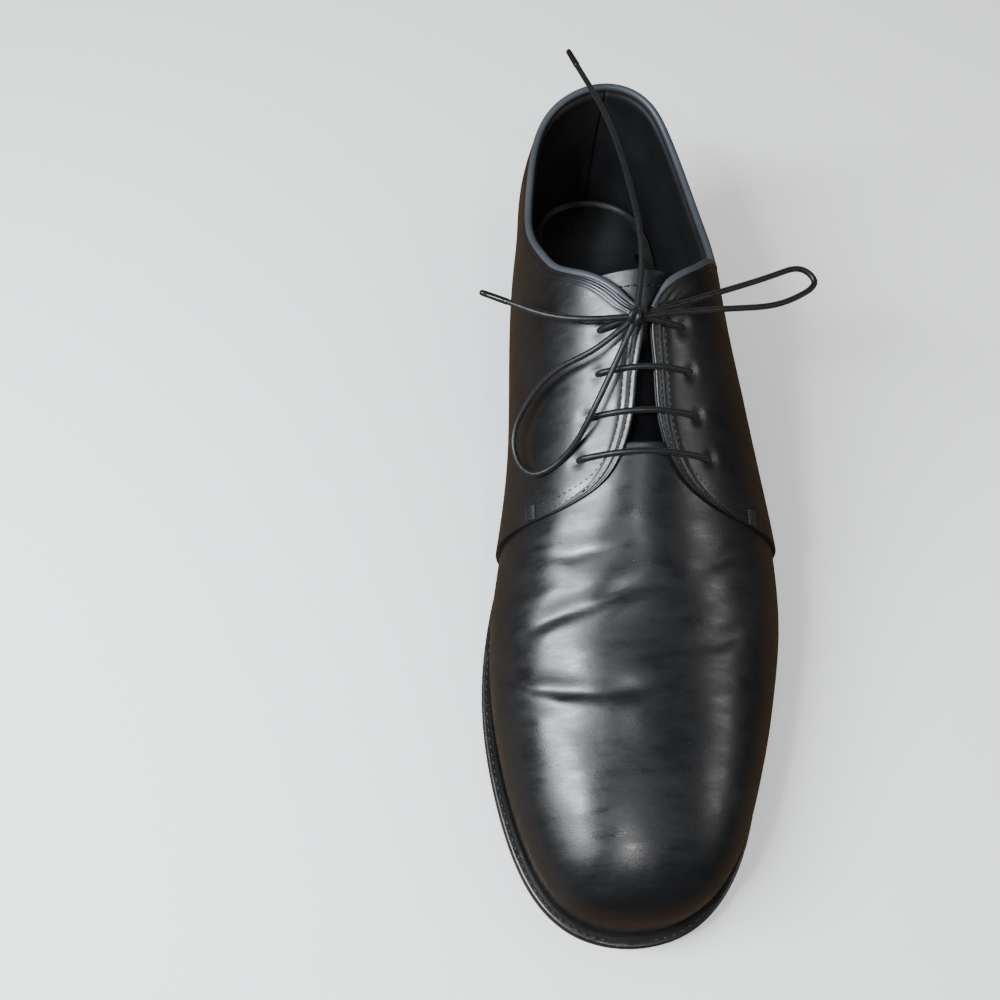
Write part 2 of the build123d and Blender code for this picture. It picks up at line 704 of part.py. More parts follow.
with BuildPart() as lace_through_eyelets:
    for strand in (strand_medial, strand_lateral, strand_crossing):
        add(cord(strand, LACE_RADIUS, smooth=False))
    with Locations(KNOT):
        Sphere(KNOT_RADIUS)
save(lace_through_eyelets, "lace_through_eyelets")

BOW = {
    "bow_loop_lateral": (
        (27, -77.5, 106), (48.5, -67.5, 103), (58, -65.5, 101), (60.5, -68.5, 100),
        (55.5, -74, 99.5), (44.5, -79.5, 101), (29, -83.5, 104.5),
    ),
    "bow_loop_medial": (
        (-17.5, -97, 99), (-26, -97.6, 91), (-36.8, -102.5, 74), (-40.5, -109, 66.5),
        (-39.8, -117, 63.5), (-35, -124, 65.2), (-27, -123.7, 72), (-17.5, -115.5, 87.5),
    ),
    "lace_end_medial": ((-20.4, -88.3, 105.5), (-33, -84, 102.5), (-42.5, -78, 100)),
    "lace_end_rear": (
        (-0.1, -66, 113), (-1.1, -45.5, 114), (-3.5, -21, 112), (-7, 5, 107), (-13, 34.5, 99.5),
    ),
}
AGLET_TIPS = {"lace_end_medial": (-51.4, -72.5, 98), "lace_end_rear": (-17.5, 52, 96.5)}


def root_point(target):
    """Where a strand leaves the knot on its way to a point."""
    return Vector(*KNOT) + (Vector(*target) - Vector(*KNOT)).normalized() * ROOT


for name, way in BOW.items():
    points = [root_point(way[0])] + [Vector(*p) for p in way]
    with BuildPart() as strand:
        if name in AGLET_TIPS:
            tip = Vector(*AGLET_TIPS[name])
            along = (tip - points[-1]).normalized()
            add(cord(points, LACE_RADIUS))
            with BuildSketch(Plane(origin=points[-1] - along, z_dir=along)):
                Circle(CORE_RADIUS)
            extrude(amount=CORE_LENGTH)
        else:
            add(cord(points + [root_point(way[-1])], LACE_RADIUS))
    save(strand, name)
    if name in AGLET_TIPS:
        with BuildPart() as aglet:
            mouth = Plane(origin=points[-1] + along * AGLET_SHIFT, z_dir=along)
            with BuildSketch(mouth):
                Circle(AGLET_RADIUS)
            extrude(amount=AGLET_LENGTH)
            with BuildSketch(mouth):
                Circle(CORE_RADIUS + GAP)
            extrude(amount=CORE_LENGTH, mode=Mode.SUBTRACT)
        save(aglet, name.replace("lace_end", "aglet"))
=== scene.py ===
import json
import math

import bpy
import numpy as np
from mathutils import Matrix, Vector


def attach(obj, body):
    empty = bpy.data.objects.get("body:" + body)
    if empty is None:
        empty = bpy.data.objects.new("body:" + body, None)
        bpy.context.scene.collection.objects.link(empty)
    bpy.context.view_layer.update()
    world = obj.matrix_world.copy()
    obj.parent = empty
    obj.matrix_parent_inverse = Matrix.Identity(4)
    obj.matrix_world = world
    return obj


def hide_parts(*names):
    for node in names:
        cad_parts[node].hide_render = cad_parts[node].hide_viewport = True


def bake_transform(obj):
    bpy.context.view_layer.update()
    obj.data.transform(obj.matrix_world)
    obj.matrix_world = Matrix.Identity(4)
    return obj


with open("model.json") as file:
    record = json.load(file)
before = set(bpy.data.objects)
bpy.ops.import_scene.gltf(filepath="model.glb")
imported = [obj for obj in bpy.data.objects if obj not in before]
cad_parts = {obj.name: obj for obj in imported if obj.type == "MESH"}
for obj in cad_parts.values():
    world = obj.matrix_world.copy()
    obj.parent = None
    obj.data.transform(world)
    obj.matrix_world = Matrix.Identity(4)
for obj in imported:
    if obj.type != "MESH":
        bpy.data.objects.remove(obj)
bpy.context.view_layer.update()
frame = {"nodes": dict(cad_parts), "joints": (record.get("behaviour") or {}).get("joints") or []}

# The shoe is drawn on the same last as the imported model. Shapes are worked out in
# millimetres and scaled to metres when a mesh is made.
MM = 0.001
MEDIAL, LATERAL = -1, 1

# ---------------------------------------------------------------- driving dimensions (mm)
UPPER, LINING, BACK_STRIP = 1.3, 1.0, 1.0
QUARTER_FRONT_OUT, LINING_REAR_OUT, LINING_FRONT_OUT = 1.6, -2.9, -0.2
VAMP_LINING_OUT, TONGUE_OUT = -2.4, -4.2
OUTSOLE_BOTTOM, WELT_TOP = 7.7, 0.8      # depths below the feather
WELT_MARGIN, WAIST_MARGIN = 4.5, 2.2
HEEL_SEAT_Z, BREAST_Y, HEEL_TAPER = 22.3, -28.0, 0.052
TOP_PIECE = 6.0
LACE_RADIUS = 1.0
CENTRE = 1.5
EYELET_ROWS = ((-87.0, 14.5, 12.0), (-99.5, 15.0, 15.0), (-112.0, 18.0, 17.5), (-124.0, 21.0, 22.0))

# sections of the last: y, turn, feather height, spine height, fullness, middle x, then
# half-widths at feather, flank and crown for the lateral and for the medial side
LAST = np.array([
    (0, 0, 30.0, 150, 0.40, -2, 32, 41, 25, 32, 41, 25),
    (0, 30, 30.0, 150, 0.40, -2, 32, 40, 21, 32, 40, 21),
    (0, 62, 30.0, 150, 0.40, -2, 31, 35, 12, 31, 43, 16),
    (-14, 86, 29.5, 148, 0.41, 0, 31, 37, 14, 30, 49, 14),
    (-40, 90, 27.0, 136, 0.43, 0, 32, 46, 21, 29, 58, 19),
    (-68, 90, 21.0, 114, 0.46, 1, 34, 51, 23, 29, 60, 22),
    (-96, 90, 14.0, 96, 0.50, 2, 38, 58, 23, 31, 58, 22),
    (-122, 90, 7.7, 82, 0.52, 2, 44, 66, 25, 36, 58, 24),
    (-146, 90, 7.7, 70, 0.55, 1, 49, 71, 27, 42, 59, 27),
    (-170, 90, 7.7, 61, 0.58, 0, 50, 69, 29, 46, 59, 29),
    (-194, 90, 7.7, 54, 0.62, -1, 48, 61, 30, 46, 54, 30),
    (-217, 90, 9.6, 49, 0.66, -2, 43, 52, 28, 42, 48, 28),
    (-238, 90, 12.2, 45, 0.70, -3, 37, 43, 25, 36, 40, 25),
    (-254, 90, 14.3, 41, 0.72, -4, 28, 32, 20, 28, 31, 20),
    (-264, 90, 15.3, 32, 0.72, -5, 16, 18, 12, 16, 17, 12),
    (-267, 90, 15.6, 15.6, 0.72, -5, 0, 0, 0, 0, 0, 0),
], float)
TIP = len(LAST) - 1

# outlines of the upper: distance from the slit and y, or y and height
LATERAL_FACING = (
    (1.8, -84), (2.4, -98), (3.6, -111), (6.5, -122), (12, -131), (21, -137), (31, -140), (41, -141),
)
MEDIAL_FACING = (
    (1.8, -84), (2.4, -98), (3.6, -110), (6.5, -122), (12, -131), (20, -136), (29, -138.5), (38, -139),
)
LATERAL_TOP = ((31.6, -50), (25.4, -60), (19, -66.8), (12.1, -72.2), (5.5, -78))
MEDIAL_TOP = ((32.4, -54.8), (29.4, -60.7), (24.9, -65.6), (15.8, -72.4), (9.3, -78), (4.2, -82.4))
LATERAL_RIM = ((45, 97), (32, 94.5), (14, 88), (-14, 82.5), (-34, 82.5), (-50, 86.5), (-60, 96))
MEDIAL_RIM = ((45, 97), (32, 94.5), (14, 88.5), (-14, 84.5), (-34, 87), (-50, 94.5), (-60, 104))
TONGUE_FRONT_Y, TONGUE_TOP_Y = -131.0, -72.0
TONGUE_FRONT_HALF, TONGUE_TOP_HALF = 20.0, 28.0


# ---------------------------------------------------------------- the lasted surface
def control_rows(k):
    """Rows of the last by number, mirrored past the heel's middle and past the toe tip."""
    rows = LAST[np.where(k < 0, -k, np.where(k > TIP, 2 * TIP - k, k))].copy()
    rows[k < 0, 1] *= -1
    past = k > TIP
    rows[past, 6:] *= -1
    rows[past, 3] = 2 * LAST[TIP, 3] - rows[past, 3]
    return rows


def station(t):
    """Sections at t along the last, on a uniform cubic B-spline."""
    t = np.atleast_1d(np.asarray(t, float))
    i = np.minimum(np.floor(t).astype(int), TIP - 1)
    f = (t - i)[:, None]
    weights = ((1 - f) ** 3, 3 * f**3 - 6 * f**2 + 4, -3 * f**3 + 3 * f**2 + 3 * f + 1, f**3)
    return sum(w * control_rows(i + k - 1) for k, w in enumerate(weights)) / 6


def last_point(t, v, side):
    """Points of the last; t, v and side are arrays of one shape."""
    t, v, side = (a.ravel() for a in np.broadcast_arrays(np.asarray(t, float), v, side))
    s = station(t)
    lateral = (side > 0)[:, None]
    foot, flank, crown = np.where(lateral, s[:, 6:9], s[:, 9:12]).T
    b0, b1, b2, b3 = (1 - v) ** 3, 3 * v * (1 - v) ** 2, 3 * v * v * (1 - v), v**3
    reach = b0 * foot + b1 * flank + b2 * crown
    z = b0 * s[:, 2] + b1 * (s[:, 2] + s[:, 4] * (s[:, 3] - s[:, 2])) + (b2 + b3) * s[:, 3]
    turn = np.radians(s[:, 1])
    return np.stack([s[:, 5] + side * reach * np.sin(turn), s[:, 0] + reach * np.cos(turn), z], 1)


def unit(a):
    return a / np.maximum(np.linalg.norm(a, axis=-1, keepdims=True), 1e-9)


def last_normal(t, v, side):
    """Outward unit normals of the last."""
    t, v, side = (a.ravel() for a in np.broadcast_arrays(np.asarray(t, float), v, side))
    h = 0.001
    along = last_point(t + h, v, side) - last_point(t - h, v, side)
    upward = last_point(t, v + h, side) - last_point(t, v - h, side)
    return unit(np.cross(along, upward)) * -side[:, None]


def solve(value, low, high):
    """Roots of increasing functions between arrays low and high."""
    low, high = low.astype(float), high.astype(float)
    for _ in range(36):
        middle = (low + high) / 2
        under = value(middle) < 0
        low, high = np.where(under, middle, low), np.where(under, high, middle)
    return (low + high) / 2


def t_at(y):
    """Station whose section lies at y, forward of the heel."""
    y = np.atleast_1d(np.asarray(y, float))
    return solve(lambda t: y - station(t)[:, 0], np.full(y.shape, 3.5), np.full(y.shape, TIP))


def spot(distance, y, side):
    """(t, v) at a distance from the slit, on the upper half of the last."""
    t = t_at(y)
    x = CENTRE + side * np.atleast_1d(np.asarray(distance, float))
    low, high = np.full(t.shape, 0.35), np.ones(t.shape)
    return t, solve(lambda v: side * (x - last_point(t, v, side)[:, 0]), low, high)


def ramp(y, a, value_a, b, value_b):
    """Smooth change from value_a at a to value_b at b."""
    f = np.clip((y - a) / (b - a), 0, 1)
    return value_a + (value_b - value_a) * f * f * (3 - 2 * f)


def spline(points, count):
    """Natural cubic spline through points, sampled evenly by length."""
    p = np.asarray(points, float)
    s = np.r_[0, np.cumsum(np.linalg.norm(np.diff(p, axis=0), axis=1))]
    h = np.diff(s)
    n = len(p)
    a = np.eye(n)
    r = np.zeros_like(p)
    for i in range(1, n - 1):
        a[i, i - 1:i + 2] = h[i - 1], 2 * (h[i - 1] + h[i]), h[i]
        r[i] = 6 * ((p[i + 1] - p[i]) / h[i] - (p[i] - p[i - 1]) / h[i - 1])
    m = np.linalg.solve(a, r)

    def at(u):
        i = np.clip(np.searchsorted(s, u) - 1, 0, n - 2)
        lo, hi, w = (s[i + 1] - u)[:, None], (u - s[i])[:, None], h[i][:, None]
        bend = m[i] * lo**3 / (6 * w) + m[i + 1] * hi**3 / (6 * w)
        return bend + (p[i] / w - m[i] * w / 6) * lo + (p[i + 1] / w - m[i + 1] * w / 6) * hi

    dense = at(np.linspace(0, s[-1], 24 * n))
    run = np.r_[0, np.cumsum(np.linalg.norm(np.diff(dense, axis=0), axis=1))]
    even = np.interp(np.linspace(0, run[-1], count), run, np.linspace(0, s[-1], 24 * n))
    return at(even)


# ---------------------------------------------------------------- leather relief
CREASES = (     # plan line of the crease, depth, half-width
    (((-47, -186), (-36, -193.5), (-27, -196), (-14, -197.7), (-2, -196.8), (6, -194)), 0.5, 2.6),
    (((-37, -175), (-26, -172), (-16, -170), (-4, -166), (6, -164)), 0.55, 2.8),
    (((-36, -150), (-22, -153.6), (-13, -152.4), (-5, -150)), 0.3, 3.0),
    (((20, -158), (28, -155), (36, -150)), 0.35, 3.0),
    (((16, -182), (25, -181), (36, -176)), 0.35, 3.4),
    (((-46, -160), (-38, -162), (-30, -161)), 0.4, 2.6),
)
SWELLS = (      # place, radii and height of soft bulges between the creases
    ((-24, -184), (17, 6.5), 0.55), ((-20, -162), (14, 5.5), 0.5), ((-22, -143), (13, 6), 0.4),
    ((6, -178), (16, 12), -0.5), ((27, -170), (12, 7), 0.45), ((-6, -156), (10, 9), -0.35),
    ((-16, -212), (9, 9), -0.3), ((-30, -210), (8, 8), 0.25), ((-20, -231), (9, 5), 0.3),
    ((-8, -205), (12, 6), 0.3), ((12, -212), (14, 10), -0.25), ((26, -205), (9, 12), 0.2),
)


def relief(points):
    """Height in mm that wear has pushed the vamp leather in (-) or out (+)."""
    x, y, z = points.T
    total = 0.16 * np.sin(x / 9 + y / 17) * np.sin(y / 11 - x / 23) * ramp(y, -235, 0.2, -190, 1)
    for (x0, y0), (wide, long), height in SWELLS:
        total += height * np.exp(-(((x - x0) / wide) ** 2) - ((y - y0) / long) ** 2)
    for line, depth, width in CREASES:
        xs, ys = np.array(line).T
        middle = np.interp(x, xs, ys)
        fade = ramp(x, xs[0] - 6, 0, xs[0] + 8, 1) * ramp(x, xs[-1] - 8, 1, xs[-1] + 8, 0)
        d = (y - middle) / width
        lip = np.exp(-(((d + 1.5) / 1.4) ** 2)) + 0.35 * np.exp(-(((d - 2.0) / 1.3) ** 2))
        valley = np.exp(-np.where(d > 0, d / 1.5, d / 0.7) ** 2)
        uneven = 1 + 0.35 * np.sin(x / 4.3 + depth * 9) * np.cos(x / 7.9)
        total += depth * fade * uneven * (0.55 * lip - valley)
    return total * ramp(z, 14, 0, 30, 1)


def eyelet_point(row, side, out=0.0):
    """Centre of one eyelet."""
    y, medial, lateral = EYELET_ROWS[row]
    t, v = spot(lateral if side > 0 else medial, y, side)
    return (last_point(t, v, side) + last_normal(t, v, side) * out)[0]


def dimples(points, side):
    """Pull of the lace on the facing round each eyelet."""
    total = np.zeros(len(points))
    for row in range(len(EYELET_ROWS)):
        d = np.linalg.norm(points - eyelet_point(row, side, QUARTER_FRONT_OUT), axis=1)
        total -= 0.75 * np.exp(-((d / 2.1) ** 2))
    return total


# ---------------------------------------------------------------- mesh building
def make_object(name, vertices, faces, material, body):
    """Smooth-shaded mesh piece in metres, riding on a body."""
    mesh = bpy.data.meshes.new(name)
    mesh.from_pydata((np.asarray(vertices) * MM).tolist(), [], faces)
    mesh.validate()
    mesh.polygons.foreach_set("use_smooth", [True] * len(mesh.polygons))
    mesh.materials.append(material)
    piece = bpy.data.objects.new(name, mesh)
    bpy.context.scene.collection.objects.link(piece)
    if body:
        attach(piece, body)
    return piece


def grid_faces(rows, columns, start=0, flip=False):
    faces = []
    for i in range(rows - 1):
        for j in range(columns - 1):
            a = start + i * columns + j
            quad = (a, a + 1, a + columns + 1, a + columns)
            faces.append(quad[::-1] if flip else quad)
    return faces


SEAM_HALF_WIDTH = 0.55


def edge_drop(distance, radius):
    """How far a rolled edge falls away at a distance from the cut."""
    d = np.clip(distance, 0, radius)
    return radius - np.sqrt(np.maximum(radius**2 - (radius - d) ** 2, 0))


def levels(count, length, fine=(0.1, 0.3, 0.6, 1.0, 1.6), low=True, high=True):
    """Shares 0 to 1 with extra lines close to the ends, for rolled edges."""
    close = [d / length for d in fine]
    start = close[-1] if low else 0
    stop = 1 - close[-1] if high else 1
    middle = np.linspace(start, stop, count).tolist()
    ahead = [0, *close[:-1]] if low else []
    behind = [1 - c for c in close[:-1]][::-1] + [1] if high else []
    return np.array(ahead + middle + behind)


def leather(
    name, t, v, side, out, thickness, material, body, lift=0, roll=0.5, flip=False, seams=(),
):
    """Closed sheet of leather on a grid of places, with rolled edges and sewn grooves."""
    rows, columns = t.shape
    flat = (t.ravel(), v.ravel(), side.ravel())
    base, normal = last_point(*flat), last_normal(*flat)
    cube = base.reshape(rows, columns, 3)

    def run(axis):
        step = np.linalg.norm(np.diff(cube, axis=axis), axis=2)
        pad = [(0, 0), (0, 0)]
        pad[axis] = (1, 0)
        return np.cumsum(np.pad(step, pad), axis=axis)

    down, across = run(0), run(1)
    edge = np.minimum.reduce([down, down[-1:] - down, across, across[:, -1:] - across]).ravel()
    drop = edge_drop(edge, roll)
    raised = out.ravel() + lift
    for distance, depth in seams:
        raised = raised - depth * np.exp(-(((edge - distance) / SEAM_HALF_WIDTH) ** 2))
    outer = base + normal * (raised - drop)[:, None]
    inner = base + normal * (raised - thickness + drop)[:, None]
    count = rows * columns
    faces = grid_faces(rows, columns, 0, flip) + grid_faces(rows, columns, count, not flip)
    rim = list(range(columns))
    rim += [i * columns + columns - 1 for i in range(1, rows)]
    rim += [(rows - 1) * columns + j for j in range(columns - 2, -1, -1)]
    rim += [i * columns for i in range(rows - 2, 0, -1)]
    for a, b in zip(rim, rim[1:] + rim[:1]):
        quad = (a, b, b + count, a + count)
        faces.append(quad if flip else quad[::-1])
    return make_object(name, np.r_[outer, inner], faces, material, body)


# ---------------------------------------------------------------- materials
def shader(name):
    material = bpy.data.materials.new(name)
    material.use_nodes = True
    tree = material.node_tree
    return material, tree, tree.nodes["Principled BSDF"]


def noise(tree, scale, detail=4.0, roughness=0.55, stretch=(1, 1, 1), turn=(0, 0, 0)):
    """Noise texture in the piece's own frame, optionally drawn out in streaks."""
    coordinates = tree.nodes.new("ShaderNodeTexCoord")
    mapping = tree.nodes.new("ShaderNodeMapping")
    mapping.inputs["Scale"].default_value = stretch
    mapping.inputs["Rotation"].default_value = turn
    texture = tree.nodes.new("ShaderNodeTexNoise")
    texture.inputs["Scale"].default_value = scale
    texture.inputs["Detail"].default_value = detail
    texture.inputs["Roughness"].default_value = roughness
    tree.links.new(coordinates.outputs["Object"], mapping.inputs["Vector"])
    tree.links.new(mapping.outputs["Vector"], texture.inputs["Vector"])
    return texture


def cells(tree, scale):
    """Voronoi texture that is zero along the edges of its cells."""
    coordinates = tree.nodes.new("ShaderNodeTexCoord")
    texture = tree.nodes.new("ShaderNodeTexVoronoi")
    texture.feature = "DISTANCE_TO_EDGE"
    texture.inputs["Scale"].default_value = scale
    tree.links.new(coordinates.outputs["Object"], texture.inputs["Vector"])
    return texture


def spread(tree, source, low, high, to_low, to_high):
    """Maps a texture's value from one span to another."""
    node = tree.nodes.new("ShaderNodeMapRange")
    for key, value in zip(("From Min", "From Max", "To Min", "To Max"), (low, high, to_low, to_high)):
        node.inputs[key].default_value = value
    tree.links.new(source, node.inputs["Value"])
    return node.outputs["Result"]


def mix_colour(tree, factor, colour_a, colour_b):
    node = tree.nodes.new("ShaderNodeMix")
    node.data_type = "RGBA"
    node.inputs["A"].default_value = (*colour_a, 1)
    node.inputs["B"].default_value = (*colour_b, 1)
    tree.links.new(factor, node.inputs["Factor"])
    return node.outputs["Result"]


def bump(tree, shader_node, height, strength, distance, under=None):
    node = tree.nodes.new("ShaderNodeBump")
    node.inputs["Strength"].default_value = strength
    node.inputs["Distance"].default_value = distance
    tree.links.new(height, node.inputs["Height"])
    if under is not None:
        tree.links.new(under, node.inputs["Normal"])
    tree.links.new(node.outputs["Normal"], shader_node.inputs["Normal"])
    return node.outputs["Normal"]


def calf(name, dark, light, rough, coat, grain):
    """Smooth dressed calf: fine pores, hair scratches, patches of polish and a clear coat."""
    material, tree, node = shader(name)
    patches = noise(tree, 34, 5)
    tone = mix_colour(tree, spread(tree, patches.outputs["Fac"], 0.35, 0.7, 0, 1), dark, light)
    tree.links.new(tone, node.inputs["Base Color"])
    smear = noise(tree, 60, 6, 0.65, (1, 3.0, 1))
    dull = spread(tree, smear.outputs["Fac"], 0.3, 0.72, rough - 0.1, rough + 0.14)
    tree.links.new(dull, node.inputs["Roughness"])
    node.inputs["Specular IOR Level"].default_value = 0.55
    node.inputs["Coat Weight"].default_value = coat
    node.inputs["Coat Roughness"].default_value = 0.24
    node.inputs["Coat IOR"].default_value = 1.4
    pores = bump(tree, node, cells(tree, 1100).outputs["Distance"], grain, 0.0001)
    scratches = noise(tree, 520, 3, 0.6, (1, 9, 1), (0, 0, 0.85))
    scored = bump(tree, node, scratches.outputs["Fac"], grain * 1.4, 0.00012, pores)
    bump(tree, node, noise(tree, 240, 4).outputs["Fac"], grain * 1.3, 0.0003, scored)
    return material


def painted_shade_in_front(material, front_y, rear_y):
    """Painted shade: the gloss falls away in front of a line across the shoe, darkening the tongue where
    it lies between the facings.
    """
    tree = material.node_tree
    node = tree.nodes["Principled BSDF"]
    coordinates = tree.nodes.new("ShaderNodeTexCoord")
    split = tree.nodes.new("ShaderNodeSeparateXYZ")
    tree.links.new(coordinates.outputs["Object"], split.inputs["Vector"])
    gloss = spread(tree, split.outputs["Y"], front_y, rear_y, 0.03, 0.6)
    tree.links.new(gloss, node.inputs["Specular IOR Level"])


def plain_leather(name, dark, light, rough, grain, scale=900):
    """Unpolished leather or board: mottled colour with a soft grain."""
    material, tree, node = shader(name)
    patches = noise(tree, 60, 5)
    tone = mix_colour(tree, spread(tree, patches.outputs["Fac"], 0.3, 0.7, 0, 1), dark, light)
    tree.links.new(tone, node.inputs["Base Color"])
    node.inputs["Roughness"].default_value = rough
    pores = bump(tree, node, cells(tree, scale).outputs["Distance"], grain, 0.00015)
    bump(tree, node, noise(tree, 300, 4).outputs["Fac"], grain, 0.0002, pores)
    return material


def cord_material(name, dark, light):
    """Waxed thread: fine fibres along a twist that the mesh already has."""
    material, tree, node = shader(name)
    fibres = noise(tree, 1400, 5, 0.65)
    tone = mix_colour(tree, spread(tree, fibres.outputs["Fac"], 0.4, 0.65, 0, 1), dark, light)
    tree.links.new(tone, node.inputs["Base Color"])
    node.inputs["Roughness"].default_value = 0.42
    node.inputs["Sheen Weight"].default_value = 0.04
    bump(tree, node, fibres.outputs["Fac"], 0.6, 0.0002)
    return material


def metal_material(name, colour, rough):
    """Bare metal with fine draw marks."""
    material, tree, node = shader(name)
    marks = noise(tree, 500, 4, 0.6, (1, 6, 1))
    dull = spread(tree, marks.outputs["Fac"], 0.3, 0.7, rough - 0.08, rough + 0.12)
    tree.links.new(dull, node.inputs["Roughness"])
    node.inputs["Base Color"].default_value = (*colour, 1)
    node.inputs["Metallic"].default_value = 1
    bump(tree, node, marks.outputs["Fac"], 0.15, 0.0001)
    return material


UPPER_CALF = calf("black_calf", (0.004, 0.0041, 0.005), (0.0075, 0.0078, 0.009), 0.34, 0.2, 0.11)
# The tongue's darker base colour is painted shade for the tongue lying down between the facings.
TONGUE_CALF_PAINTED_SHADE = calf("tongue_calf_grain_painted_shade", (0.002, 0.002, 0.0024), (0.005, 0.005, 0.006), 0.43, 0.0, 0.2)
# Painted shade: less gloss on the tongue in front of the top eyelets, where it lies between the facings.
painted_shade_in_front(TONGUE_CALF_PAINTED_SHADE, -0.092, -0.080)
# The folded edge's light grey-blue colour is a painted sheen along the top line's rim.
EDGE_CALF_PAINTED_SHEEN = calf("folded_edge_calf_painted_sheen", (0.034, 0.039, 0.047), (0.05, 0.057, 0.067), 0.45, 0.1, 0.2)
LINING_SKIN = plain_leather("lining_leather", (0.006, 0.006, 0.007), (0.012, 0.012, 0.013), 0.5, 0.3)
SOCK_SKIN = calf("sock_leather", (0.004, 0.004, 0.0045), (0.009, 0.009, 0.01), 0.28, 0.9, 0.12)
SOLE_EDGE = calf("waxed_sole_edge", (0.007, 0.006, 0.006), (0.014, 0.012, 0.011), 0.3, 0.45, 0.3)
SOLE_LEATHER = plain_leather("outsole_leather", (0.03, 0.022, 0.017), (0.07, 0.05, 0.036), 0.5, 0.4, 500)
BOARD = plain_leather("insole_leather", (0.3, 0.2, 0.12), (0.45, 0.32, 0.2), 0.75, 0.5)
CORK = plain_leather("cork", (0.32, 0.2, 0.11), (0.55, 0.38, 0.24), 0.9, 0.9, 450)
RUBBER = plain_leather("rubber_top_piece", (0.012, 0.012, 0.012), (0.022, 0.022, 0.022), 0.6, 0.5, 700)
STIFFENER = plain_leather("stiffener_sheet", (0.5, 0.45, 0.36), (0.62, 0.56, 0.46), 0.8, 0.3)
LACE_CORD = cord_material("waxed_cord", (0.003, 0.003, 0.0033), (0.011, 0.0115, 0.013))
THREAD = cord_material("sewing_thread", (0.004, 0.004, 0.0045), (0.012, 0.012, 0.014))
TIP_PLASTIC = plain_leather("aglet_plastic", (0.006, 0.006, 0.006), (0.012, 0.012, 0.012), 0.2, 0.1)
STEEL = metal_material("spring_steel", (0.5, 0.5, 0.52), 0.3)
BRASS = metal_material("eyelet_brass", (0.75, 0.55, 0.28), 0.3)


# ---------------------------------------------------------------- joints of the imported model
JOINT_AT = {joint["name"]: joint["pos_m"] for joint in frame["joints"]}
KNOT = np.array(JOINT_AT["end_rear_lift"]) / MM


def flexes(piece):
    """Bakes the piece's placement into its mesh."""
    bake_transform(piece)


# ---------------------------------------------------------------- vamp
FOOT_V = -0.012      # the upper's lower edge tucks in just under the feather


def front_grid(start_y, stop_t, rows, columns, edge=1.0):
    """Places of a sheet that wraps over the spine between start_y and stop_t."""
    s = np.linspace(-edge, edge, columns)
    f = np.linspace(0, 1, rows)
    t0 = t_at(start_y)[0]
    t = t0 + (stop_t - t0) * (1 - (1 - f) ** 1.25)
    t = np.r_[t[0], t[0] + 0.004, t[0] + 0.012, t[0] + 0.03, t[1:]]
    grid_t, grid_s = np.meshgrid(t, s, indexing="ij")
    v = 1 - np.abs(grid_s) * (1 - FOOT_V)
    return grid_t, v, np.where(grid_s > 0, LATERAL, MEDIAL)


def build_vamp():
    t, v, side = front_grid(-121, TIP - 0.004, 190, 161)
    places = last_point(t, v, side)
    out = np.zeros(t.size)
    lift = relief(places)
    piece = leather("vamp", t, v, side, out, UPPER, UPPER_CALF, None, lift)
    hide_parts("vamp_forepart", "vamp_rear")
    flexes(piece)

    t, v, side = front_grid(-130, TIP - 0.12, 90, 81)
    places = last_point(t, v, side)
    out = np.full(t.size, VAMP_LINING_OUT)
    lift = relief(places) * 0.6
    piece = leather("vamp_lining", t, v, side, out, LINING, LINING_SKIN, None, lift)
    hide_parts("vamp_lining_forepart", "vamp_lining_rear")
    flexes(piece)


# ---------------------------------------------------------------- quarters
EDGE_LINES = (0.1, 0.3, 0.6, 1.0, 1.5, 1.9, 2.4, 3.1, 3.9, 4.4, 5.0, 6.0)    # mm from the cut edge
MM_PER_PLACE = (25.0, 110.0)      # rough length of one station and of the whole share v


def quarter_edge(side, front_y, count):
    """(t, v) places along one quarter's edge, from the back seam to the front corner."""
    rim = spline(LATERAL_RIM if side > 0 else MEDIAL_RIM, 200)[::-1]
    t = np.linspace(0.004, t_at(-42)[0], 10)

    def over_rim(v):
        p = last_point(t, v, side)
        return p[:, 2] - np.interp(p[:, 1], rim[:, 0], rim[:, 1])

    v = solve(over_rim, np.full(t.shape, 0.2), np.full(t.shape, 0.9))
    places = list(zip(t, v))
    if side > 0:
        front_edge = LATERAL_TOP + LATERAL_FACING
    else:
        front_edge = MEDIAL_TOP + MEDIAL_FACING
    for x, y in front_edge:
        if y >= front_y:
            places.append([float(a[0]) for a in spot(x, y, side)])
    flat = np.array(places) * MM_PER_PLACE
    return spline(flat, count) / MM_PER_PLACE


def quarter_grid(side, front_y, count, across):
    """Places of one side's sheet, from its foot to its edge."""
    edge = quarter_edge(side, front_y, count)
    front_t = t_at(front_y)[0]
    edge[:, 0] = np.minimum(edge[:, 0], front_t)
    f = levels(count - 10, 300.0, low=False)
    f = np.interp(f, (0, 1), (0, count - 1))
    edge = np.stack([np.interp(f, np.arange(count), edge[:, k]) for k in (0, 1)], 1)
    share = np.clip((f / (count - 1) - 0.6) / 0.4, 0, 1)
    foot_t = edge[:, 0] + (front_t - edge[:, 0]) * share**2
    up = levels(across, 75.0, EDGE_LINES, low=False)
    t = foot_t[:, None] + (edge[:, :1] - foot_t[:, None]) * up[None, :]
    v = FOOT_V + (edge[:, 1:] - FOOT_V) * up[None, :]
    return t, v, np.full(t.shape, side)


SEAMS = ((1.9, 0.3), (4.4, 0.22))     # distance from the edge and depth of the sewn grooves


def quarter_out(y):
    return ramp(y, -95, QUARTER_FRONT_OUT, -45, 0.0)


